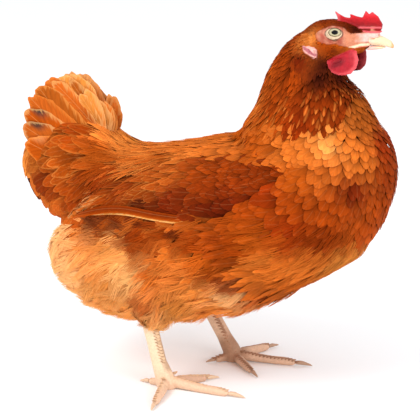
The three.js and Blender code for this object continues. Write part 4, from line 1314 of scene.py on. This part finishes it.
def tufts(
    title,
    tract_name,
    keep,
    clumps,
    strands,
    seed,
    stations,
    width,
    lift,
    bright,
    spread=5.0,
    root=-2.5,
    sway=1.0,
    longer=1.0,
    scatter=30,
):
    """Wisps of loose barbs: each clump's fine three-sided strands share its path and curl together."""
    rng = np.random.default_rng(seed)
    tract = tracts[tract_name]
    points, normals = lie_surface.scatter(clumps * scatter, rng)
    inside = np.flatnonzero((tract_of(points) == tract_name) & keep(points))[:clumps]
    points, normals = points[inside], normals[inside]
    count = len(points)
    said = tract.read(points)
    turn = np.radians(rng.normal(0, 14, count) + 16 * soft_noise(points, 30, seed + 2)) * sway
    length = said["length"] * rng.uniform(0.75, 1.2, count) * longer
    places, ways, outs = laid(lie_surface, tract, points, normals, length, turn, stations)

    # Strands start about their clump's path, close in on it, curl aside with it and lift to their tips.
    across = unit(np.cross(outs, ways))
    s = np.linspace(0, 1, stations)
    aside = rng.normal(0, spread / 2, (count, strands, 1))
    behind = rng.normal(0, spread / 2, (count, strands, 1))
    closing = 1 - rng.uniform(0.3, 0.6, (count, 1, 1)) * s
    curl = (rng.normal(0, 2.6, (count, 1, 1)) + rng.normal(0, 1.2, (count, strands, 1))) * s**2 * sway
    tip = rng.uniform(*lift, (count, 1, 1)) + rng.normal(0, 0.5, (count, strands, 1)) * sway
    at = places[:, None] + across[:, None] * (aside * closing + curl)[..., None]
    at = at + ways[:, None] * (behind * (1 - 0.3 * s))[..., None]
    at = at + outs[:, None] * mix(root, tip, s**0.8)[..., None]

    # Each strand is a closed three-sided sliver that thins to its tip.
    half = width / 2 * rng.uniform(0.7, 1.2, (count, strands, 1)) * (1 - 0.85 * s**1.4)
    wide = np.broadcast_to(across[:, None], at.shape) * half[..., None]
    ridge = np.broadcast_to(outs[:, None], at.shape) * half[..., None] * 0.7
    rings = np.stack((at + wide, at + ridge, at - wide), 3)
    total = count * strands
    i, j = np.meshgrid(np.arange(stations - 1), np.arange(WISP_SIDES), indexing="ij")
    a, b = i * WISP_SIDES + j, i * WISP_SIDES + (j + 1) % WISP_SIDES
    quads = np.stack((a, b, b + WISP_SIDES, a + WISP_SIDES), -1).reshape(-1, 4)
    first = np.arange(WISP_SIDES)
    caps = np.stack((first[::-1], first + (stations - 1) * WISP_SIDES))
    start = (np.arange(total) * stations * WISP_SIDES)[:, None, None]
    faces = [(quads[None] + start).reshape(-1, 4), (caps[None] + start).reshape(-1, WISP_SIDES)]
    piece = new_mesh(title, rings.reshape(-1, 3), faces)
    sides_on_top = np.tile(np.repeat((j < WISP_SIDES - 1).ravel(), 4), total)
    on_top = np.concatenate((sides_on_top, np.zeros(total * 2 * WISP_SIDES, bool)))
    body_way = np.broadcast_to(outs[:, None, :, None], rings.shape).reshape(-1, 3)
    softened(piece, body_way, on_top, 0.75)

    beside = aside[..., None] / spread / 4 + np.array((-0.1, 0, 0.1))
    patch = np.stack(np.broadcast_arrays(beside.clip(-0.5, 0.5), s[:, None] - 0.5), -1)
    roots = unwrapped(points)[:, None, None, None]
    corner_map(piece, "OFBake", (roots + PATCH * patch).reshape(-1, 2))

    # Some clumps pale towards their tips, as the tract's rim colour says.
    said = tract.read(places[:, stations // 2])
    pale = rng.random((count, 1, 1)) * 0.5 + rng.random((count, strands, 1)) * 0.08
    colour = mix(said["colour"][:, None, None], said["rim"][:, None, None], pale[..., None] * s[:, None])
    patchy = 1 + 0.12 * soft_noise(points, 26, seed + 1) + rng.normal(0, 0.07, count)
    uneven = patchy[:, None, None, None] * rng.normal(1, 0.04, (count, strands, 1, 1))
    # Each strand is also a fifth darker at its root: painted shade under the strands that lie over it.
    colour = colour * uneven * (bright * mix(0.8, 1.0, s))[:, None]
    colour = colour / np.maximum(1, colour.max(-1, keepdims=True))
    colour = np.broadcast_to(colour[:, :, :, None], rings.shape)
    paint(piece, "Plumage", np.clip(colour, 0, 1).reshape(-1, 3))
    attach(piece, "root")
    return piece


def down_material(title):
    """Loose barbs from their painted colour, with faint flecks."""
    nodes = Nodes(title, roughness=0.8, gleam=0.02)
    flecks = nodes.noise(nodes.here(), 700, 2.0)
    nodes.colour(nodes.times(nodes.painted("Plumage"), nodes.spread(flecks, 0.3, 0.7, 0.96, 1.04)))
    nodes.bump(flecks, 0.2, 0.2 * MM)
    return nodes.material


loose_down = down_material("Loose_down")
# The part's name, where it ends behind and before
BELLY_PARTS = (("front", -20, 110), ("middle", -85, -20), ("rear", -200, -85))
for index, (part_name, behind_x, before_x) in enumerate(BELLY_PARTS):
    wisps = tufts(
        f"belly_wisps_{part_name}",
        "fluff",
        lambda p, a=behind_x, b=before_x: (p[:, 0] >= a) & (p[:, 0] < b) & clear_of_wing(p - (0, 0, 4)),
        clumps=420,
        strands=14,
        seed=40 + index,
        bright=1.25,
        width=1.1,
        stations=5,
        lift=(0.3, 5.0),
    )
    wisps.data.materials.append(loose_down)

# ---- Breast, back and saddle ---------------------------------------------------------------------
# Breast feathers are short and round with a thin dark rim, partly their own colour and partly painted shade
# of the gap under each tip. Over the back they grow longer and narrower, and on the saddle and over the
# tail's root they sweep down in long rows with pale rims.

BREAST_BACK = 32  # where the breast's tract ends and the back's begins
breast_vane = plumage_material("Breast_vane", 1.3, 0.2, contrast=0.8, shaft_share=0.05)


def standing_off(points, feather, rng):
    """The tips of the last breast feathers stand off over the thigh."""
    above_edge = points[:, 2] - edge_height(BREAST_EDGE, points[:, 0])
    last = (1 - smooth(6, 22, above_edge)) * (points[:, 2] < 168)
    return rng.uniform(0.0, 0.8, len(points)) + last * rng.uniform(2.0, 5.5, len(points))


breast = grown(
    "breast_feathers",
    "body",
    lambda p: p[:, 0] > BREAST_BACK,
    rows=8,
    columns=9,
    seed=11,
    material=breast_vane,
    root_tone=0.6,
    dark_to=(0.3, 0.85),
    uneven=0.08,
    rise=standing_off,
)
saddle_vane = plumage_material("Saddle_vane", 1.8, 0.34, contrast=1.0, shaft_share=0.06)
saddle = grown(
    "back_and_saddle",
    "body",
    lambda p: p[:, 0] <= BREAST_BACK,
    rows=8,
    columns=9,
    seed=12,
    material=saddle_vane,
    root_tone=0.46,
    dark_to=(0.2, 0.8),
    uneven=0.12,
    rise=lambda points, feather, rng: rng.uniform(0.2, 2.0, len(points)),
)

# Their loose side barbs lie over them as fine streaks.
streak_down = down_material("Loose_barbs")
# The piece's name, where it ends behind, before, below and above, and its count of clumps
LOOSE_BARBS = (("saddle_barbs", -95, 20, 150, 260, 320), ("breast_barbs", 50, 150, 60, 180, 360))
for index, (title, behind_x, before_x, low_z, high_z, clumps) in enumerate(LOOSE_BARBS):
    barbs = tufts(
        title,
        "body",
        lambda p, a=(behind_x, low_z), b=(before_x, high_z): (
            (p[:, 0] >= a[0]) & (p[:, 0] < b[0]) & (p[:, 2] > a[1]) & (p[:, 2] < b[1])
        ),
        clumps=clumps,
        strands=7,
        seed=60 + index,
        bright=1.08,
        spread=4.5,
        width=0.9,
        stations=6,
        root=-0.6,
        lift=(0.6, 1.6),
        sway=0.35,
        longer=0.75,
    )
    barbs.data.materials.append(streak_down)

# ---- Wings ---------------------------------------------------------------------------------------
# The folded wing shows rows of round coverts over long stiff flight feathers. These lie nearly level
# one over the other, and the lowest one's pale edge closes the wing at the bottom.

wing_vane = plumage_material("Wing_vane", 1.1, 0.5, shaft_share=0.06)
for side_name, side in SIDES:
    coverts = grown(
        f"wing_coverts_{side_name}",
        "wing",
        lambda p, s=side: (p[:, 1] * s > 0) & (p[:, 2] > edge_height(WING_LOW, p[:, 0]) + 4),
        rows=8,
        columns=7,
        seed=14 + side,
        material=wing_vane,
        root_tone=0.5,
        dark_to=(0.25, 0.85),
        uneven=0.11,
    )


def long_feathers(title, side, lines, feather, rows, columns, seed, material, facing=(0.0, 1.0, 0.12)):
    """Long stiff feathers along lines of places, the same on both sides with y outwards."""
    places = np.array([[mirrored(p, side) for p in line] for line in lines])
    outs = np.broadcast_to(unit(mirrored(facing, side)), places.shape)
    ways = unit(np.gradient(places, axis=1))
    outs = unit(outs - ways * (outs * ways).sum(2, keepdims=True))
    length = np.linalg.norm(np.diff(places, axis=1), axis=2).sum(1)
    piece = vanes(title, (places, ways, outs), feather | {"length": length}, rows, columns, seed)
    piece.data.materials.append(material)
    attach(piece, "root")
    return piece


flight_vane = plumage_material("Flight_vane", 1.8, 0.8, shaft_share=0.1)
FLIGHT_FEATHERS = 3
BESIDE = 130  # clear of the body at its side
# How far out from the body a flight feather lies along its length, from its buried root to its tip
FLIGHT_SHARES = (0, 0.1, 0.24, 0.8, 1)
FLIGHT_HEIGHTS = (-9, -3.5, 0.6, 3.2, 2.0)
for side_name, side in SIDES:
    lines = []
    for k in range(FLIGHT_FEATHERS):
        line = []
        for x in np.linspace(44 - 8 * k, -124 + 7 * k, 16):
            z = edge_height(WING_LOW, x) - 1.0 + 1.8 * k
            hit = lie_surface.tree.ray_cast(Vector((x, BESIDE * side, z)), Vector((0, -side, 0)))[0]
            line.append((x, abs(hit.y) if hit else 60, z))
        line = np.array(line)
        line[1:-1, 1] = np.maximum(line[1:-1, 1], (line[:-2, 1] + line[2:, 1]) / 2)
        for _ in range(3):
            line[1:-1] = (line[:-2] + line[1:-1] * 2 + line[2:]) / 4
        line[:, 1] += np.interp(np.linspace(0, 1, len(line)), FLIGHT_SHARES, FLIGHT_HEIGHTS)
        lines.append(line)
    feather = {
        "width": 5.6,
        "point": 0.3,
        "fray": 0.15,
        "depth": 0.6,
        "rise": np.linspace(0.2, 1.2, FLIGHT_FEATHERS),
        "cup": 0.14,
        "thick": 0.4,
        "colour": np.array([HONEY, CHESTNUT, SIENNA]),
        "rim": np.array([STRAW, RUST, CHESTNUT]),
    }
    title = f"flight_feathers_{side_name}"
    long_feathers(title, side, lines, feather, rows=16, columns=9, seed=21 + side, material=flight_vane)

# ---- Tail ----------------------------------------------------------------------------------------
# Her tail is a short upright tent of broad round feathers with pale shafts and rims. The ones low in
# the fan have a slate inner vane, and their tips are worn.

SLATE = shade(56, 47, 45)
# The topmost feathers are paler, partly their own colour and partly painted light that shines through their
# thin vanes.
TAIL_COLOURS = [HONEY, HONEY, COPPER, TAWNY, COPPER, RUST, COPPER]
TAIL_INNER = [HONEY, HONEY, COPPER, TAWNY, COPPER, SLATE, SLATE, TAN]
TAIL_RIMS = [PEACH, PEACH, AMBER, GOLD, AMBER, STRAW, PEACH]
TAIL_FEATHERS = len(TAIL_INNER)
# The lowest feather's angle, the topmost one's length, how much longer the lowest one is and its colours
TAIL = {"right": (15, 76, 0, RUST, AMBER), "left": (-6, 72, 19, HONEY, STRAW)}
tail_vane = plumage_material("Tail_vane", 5.0, 0.5, contrast=0.9, shaft_share=0.2)
for side_name, side in SIDES:
    lowest, short, longer, lowest_colour, lowest_rim = TAIL[side_name]
    lines = []
    for a in np.linspace(0.13, 0.93, TAIL_FEATHERS):
        long = short + 100 * a * (1 - a) + longer * a
        line = []
        for u in np.linspace(0.12, 1, 7):
            angle = math.radians(mix(72, lowest, a) + 5 * (u - 0.5))
            spread = mix(5, 20, a) + u * mix(2, 12, a) + 0.8
            out, up = long * u * math.cos(angle), long * u * math.sin(angle)
            line.append((-98 - out, spread, mix(208, 190, a) + up))
        lines.append(line)
    feather = {
        "width": 30.0,
        "point": 0.06,
        "fray": 0.25,
        "depth": 0.0,
        "rise": np.linspace(1.6, -1.2, len(lines)),
        "uneven": 0.06,
        "cup": 0.12,
        "thick": 0.6,
        "colour": np.array(TAIL_COLOURS + [lowest_colour]),
        "rim": np.array(TAIL_RIMS + [lowest_rim]),
        "inner": np.array(TAIL_INNER),
        "inner_side": side,
    }
    title = f"tail_feathers_{side_name}"
    seed = 24 + side
    fan = long_feathers(title, side, lines, feather, rows=18, columns=19, seed=seed, material=tail_vane)
    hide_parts(f"tail_fan_{side_name}")

# Short loose plumes rise before the fans from the tail's root.
PLUMES = 9
for side_name, side in SIDES:
    lines = []
    plume_rng = np.random.default_rng(91 + side)
    for share in np.linspace(0, 1, PLUMES):
        angle = math.radians(mix(50, 88, share) + plume_rng.uniform(-6, 6))
        length = mix(58, 28, share) * plume_rng.uniform(0.82, 1.1)
        start = np.array((mix(-110, -94, share), mix(11, 4, share), mix(236, 230, share)))
        way = np.array((-math.cos(angle), 0.06, math.sin(angle)))
        bow = plume_rng.uniform(-9, 2)
        bend = np.array((bow, 1.5, 0))
        lines.append([start + way * length * u + bend * u * u for u in np.linspace(0, 1, 7)])
    feather = {
        "width": np.linspace(16.0, 12.0, PLUMES),
        "point": 0.15,
        "fray": 0.45,
        "depth": 0.0,
        "rise": plume_rng.uniform(0.4, 3.0, PLUMES),
        "cup": 0.16,
        "thick": 0.3,
        "root_tone": 0.6,
        "colour": np.array([COPPER, HONEY, TAWNY, HONEY, AMBER, COPPER, HONEY, GINGER, COPPER]),
        "rim": np.array([STRAW, PEACH, STRAW, PEACH, PEACH, STRAW, PEACH, STRAW, GOLD]),
    }
    title = f"tail_plumes_{side_name}"
    long_feathers(title, side, lines, feather, rows=12, columns=11, seed=27 + side, material=tail_vane)

# One row over the middle closes the tent along its ridge.
RIDGE_FEATHERS = 5
lines = []
for share in np.linspace(0, 1, RIDGE_FEATHERS):
    angle = math.radians(mix(66, 50, share))
    length = mix(58, 74, share)
    way = np.array((-math.cos(angle), 0, math.sin(angle)))
    lines.append([np.array((-100, 0, 226)) + way * length * u for u in np.linspace(0, 1, 7)])
feather = {
    "width": np.linspace(20.0, 30.0, RIDGE_FEATHERS),
    "point": 0.1,
    "fray": 0.3,
    "depth": 0.0,
    "rise": 0.0,
    "cup": 0.25,
    "thick": 0.5,
    "colour": np.array([HONEY, HONEY, HONEY, COPPER, COPPER]),
    "rim": np.array([PEACH, PEACH, GOLD, AMBER, AMBER]),
}
long_feathers(
    "tail_ridge",
    1,
    lines,
    feather,
    rows=12,
    columns=11,
    seed=33,
    material=tail_vane,
    facing=(0.9, 0.0, 0.42),
)

# ---- Hackle and face -----------------------------------------------------------------------------
# The neck's feathers are narrow and pointed, chestnut with a brighter middle, and hang over shoulders
# and breast like a cape. On the face they are tiny and lie flat like short fur.

hackle_vane = plumage_material("Hackle_vane", 1.2, 0.1, contrast=0.9, shaft_share=0.0)


def hackle_streak(points, feather, rng):
    """Four in ten feathers of the lower hackle have a brighter middle."""
    count = len(points)
    bright = (rng.random(count) < 0.4) * rng.uniform(0.15, 0.6, count)
    bright = bright * (1 - smooth(284, 300, points[:, 2]))
    return mix(feather["colour"], AMBER, bright[:, None])


def is_face(points):
    return (points[:, 2] > 303) & (points[:, 0] > 86)


for side_name, side in SIDES:
    hackle = grown(
        f"hackle_{side_name}",
        "hackle",
        lambda p, s=side: ~is_face(p) & (p[:, 1] * s >= 0),
        rows=8,
        columns=5,
        seed=17 + side,
        material=hackle_vane,
        closer=0.77,
        streak=hackle_streak,
        root_tone=0.5,
        dark_to=(0.3, 0.85),
        uneven=0.14,
    )


def on_feathered_face(points):
    """Where the face is feathered, with a ragged border, clear of comb, bill, earlobes and wattles."""
    ragged = np.stack((soft_noise(points, 2.2, 91), np.zeros(len(points)), soft_noise(points, 2.0, 92)), 1)
    inside = is_face(points) & (bare_face(points + 1.5 * ragged) < 0.5)
    near = points[inside]
    clear = gap_to(near, ["comb", "upper_bill", "lower_bill"]) > 1.0
    lobe_gap = gap_to(near - (0, 0, LOBE_RAISED), ["earlobe_right", "earlobe_left"])
    clear &= (lobe_gap > 0.8) | (near[:, 0] > 106)
    clear &= (gap_to(near, ["wattle_right", "wattle_left"]) > 1.0) | (above_wattle(near) > 1.5)
    inside[inside] = clear
    return inside


def over_earlobe(points, feather, rng):
    """The feathers just above an earlobe stand off over its rim."""
    near = 1 - smooth(2, 6, gap_to(points, ["earlobe_right", "earlobe_left"]))
    return rng.uniform(0.0, 0.3, len(points)) + 2.2 * near * smooth(319, 323, points[:, 2])


face_vane = plumage_material("Face_vane", 0.4, 0.3, contrast=0.8, shaft_share=0.0)
face = grown(
    "face_feathers",
    "hackle",
    on_feathered_face,
    rows=5,
    columns=3,
    seed=19,
    material=face_vane,
    closer=0.7,
    candidates=400000,
    depth=0.7,
    soft=0.85,
    root_tone=0.95,
    rise=over_earlobe,
    thick=0.15,
)

# A pale bristly tuft covers each ear.
ear_tufts = tufts(
    "ear_tufts",
    "hackle",
    lambda p: np.hypot((p[:, 0] - 95) / 8, (p[:, 2] - 327.5) / 5) < 1,
    clumps=60,
    scatter=1500,
    strands=8,
    seed=81,
    bright=1.3,
    spread=1.8,
    width=0.7,
    stations=5,
    root=-0.5,
    lift=(0.5, 1.6),
    sway=0.5,
)
ear_tufts.data.materials.append(streak_down)

# ---- Legs and claws ------------------------------------------------------------------------------
# The shank's front and the tops of the toes carry a row of overlapping horny plates. Each toe ends in
# a slim curved claw of the same pale horn as the bill.

# The left foot's claws, plates and toe rims are darker than the right's: painted shade on the far foot.
CLAW_COLOUR = {"right": shade(218, 184, 152), "left": shade(176, 138, 112)}
SCUTE_PALE = {"right": shade(226, 192, 156), "left": shade(172, 130, 104)}
TOE_RIM = {"right": shade(206, 158, 124), "left": shade(140, 92, 66)}
SHANK_RIM = shade(136, 84, 52)
SHANK_FACING = {"right": -0.35, "left": -0.6}  # how far the row of plates is turned to her right
# The width, length and rise of the plates
SHANK_PLATE = (9.5, 4.6, 0.35)
TOE_PLATE = (6.6, 5.2, 0.12)
TOE_STEP = 3.6

scute = plumage_material("Leg_scute", 0.9, 0.7, contrast=0.2, shaft_share=0.0)
for side_name, side in SIDES:
    plates = []
    bottom, top = (np.array(end, float) for end in SHANK_LINES[side_name])
    downward = unit(bottom - top)
    front = np.array((1.0, SHANK_FACING[side_name], 0.0))
    front = unit(front - downward * (front @ downward))
    for share in np.linspace(-0.06, 0.94, 18):
        above = Vector(mix(bottom, top, share) + front * 25)
        hit = skin_surface.tree.ray_cast(above, Vector(-front))[0]
        if hit:
            plates.append((hit, downward, front, SHANK_PLATE, SHANK_RIM))
    for toe in TOES:
        middle = sum(own(corner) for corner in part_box(f"toe_{toe}_{side_name}")) / 2
        claw_middle = sum(own(corner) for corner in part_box(f"claw_{toe}_{side_name}")) / 2
        way = unit((claw_middle - middle) * (1, 1, 0))
        reach = np.linalg.norm((claw_middle - middle)[:2])
        for step in np.arange(-reach * 0.9, reach * 0.85, TOE_STEP):
            above = Vector(middle + way * step + (0, 0, 30))
            hit = skin_surface.tree.ray_cast(above, Vector((0, 0, -1)))[0]
            if hit and 5 < hit.z < 14:
                plates.append((hit, way, (0, 0, 1), TOE_PLATE, TOE_RIM[side_name]))
    roots, ways, outs, sizes, rims = (np.array(column, float) for column in zip(*plates))
    widths, lengths, rises = sizes.T
    count = len(plates)
    u = np.linspace(0, 1, 4)[None, :, None]
    path = (
        roots[:, None] + ways[:, None] * lengths[:, None, None] * u,
        np.repeat(ways[:, None], 4, 1),
        np.repeat(outs[:, None], 4, 1),
    )
    order = np.arange(count)
    feather = {
        "length": lengths,
        "width": widths,
        "point": 0.0,
        "fray": 0.05,
        "depth": 0.25,
        "rise": rises,
        "cup": 0.62,
        "thick": 0.5,
        "colour": np.broadcast_to(SCUTE_PALE[side_name], (count, 3)),
        "rim": rims,
        "unwrap": np.stack((0.1 + 0.02 * (order % 40), 0.1 + 0.02 * (order // 40)), 1),
    }
    scutes = vanes(f"leg_scutes_{side_name}", path, feather, rows=4, columns=7, seed=51 + side)
    scutes.data.materials.append(scute)
    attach(scutes, "root")

    claws = copied_nodes(f"claws_{side_name}", [f"claw_{toe}_{side_name}" for toe in TOES])
    fused(claws, swell=0.05, voxel=0.45, smooth=2)
    paint(claws, "Horn", np.broadcast_to(CLAW_COLOUR[side_name], (len(claws.data.vertices), 3)))
    claws.data.materials.append(horn)
    bpy.ops.object.shade_smooth()
    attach(claws, "root")
    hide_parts(*[f"claw_{toe}_{side_name}" for toe in TOES])

# ---- Floor, light and camera ---------------------------------------------------------------------
# She stands on a pale matt floor in soft light from all round, with a broad softbox from the upper left
# and a weaker one from the right. The lens is long and looks a little down on her.

bpy.ops.object.select_all(action="DESELECT")
FLOOR_SIZE = 30
FLOOR_DROP = 0.0002  # the floor lies just under the soles
bpy.ops.mesh.primitive_plane_add(size=FLOOR_SIZE, location=(0, 0, -FLOOR_DROP))
floor = bpy.context.object
floor.name = "studio_floor"
nodes = Nodes("Floor_paper", roughness=0.9)
nodes.shader.inputs["Base Color"].default_value = (0.96, 0.98, 1.0, 1)
floor.data.materials.append(nodes.material)

world = bpy.data.worlds.new("Studio")
bpy.context.scene.world = world
world.use_nodes = True
world.node_tree.nodes["Background"].inputs["Color"].default_value = (1, 1, 1, 1)
world.node_tree.nodes["Background"].inputs["Strength"].default_value = 1.0


def softbox(title, place, target, size, power):
    """A square area light at a place, turned to a target."""
    lamp = bpy.data.lights.new(title, "AREA")
    lamp.shape = "SQUARE"
    lamp.size = size
    lamp.energy = power
    holder = bpy.data.objects.new(title, lamp)
    holder.location = place
    holder.rotation_euler = (Vector(target) - Vector(place)).to_track_quat("-Z", "Y").to_euler()
    bpy.context.scene.collection.objects.link(holder)


softbox("key_light", (-0.85, -1.2, 1.5), target=(0, 0, 0.2), size=0.8, power=18)
softbox("fill_light", (1.5, -0.9, 0.7), target=(0.05, 0, 0.2), size=1.0, power=14)

VIEW_TURN = math.radians(20)
VIEW_RISE = math.radians(15)
VIEW_FAR = 1.3
MIDDLE_HEIGHT = 162
target = Vector(row((0, 0, MIDDLE_HEIGHT)))
back = Vector((
    math.sin(VIEW_TURN) * math.cos(VIEW_RISE),
    -math.cos(VIEW_TURN) * math.cos(VIEW_RISE),
    math.sin(VIEW_RISE),
))
SENSOR_WIDTH = 36
LENS = 119.8
camera_data = bpy.data.cameras.new("camera")
camera_data.sensor_width = SENSOR_WIDTH
camera_data.lens = LENS
camera = bpy.data.objects.new("camera", camera_data)
camera.location = target + back * VIEW_FAR
camera.rotation_euler = back.to_track_quat("Z", "Y").to_euler()
bpy.context.scene.collection.objects.link(camera)
bpy.context.scene.camera = camera
bpy.context.scene.view_settings.view_transform = "Standard"
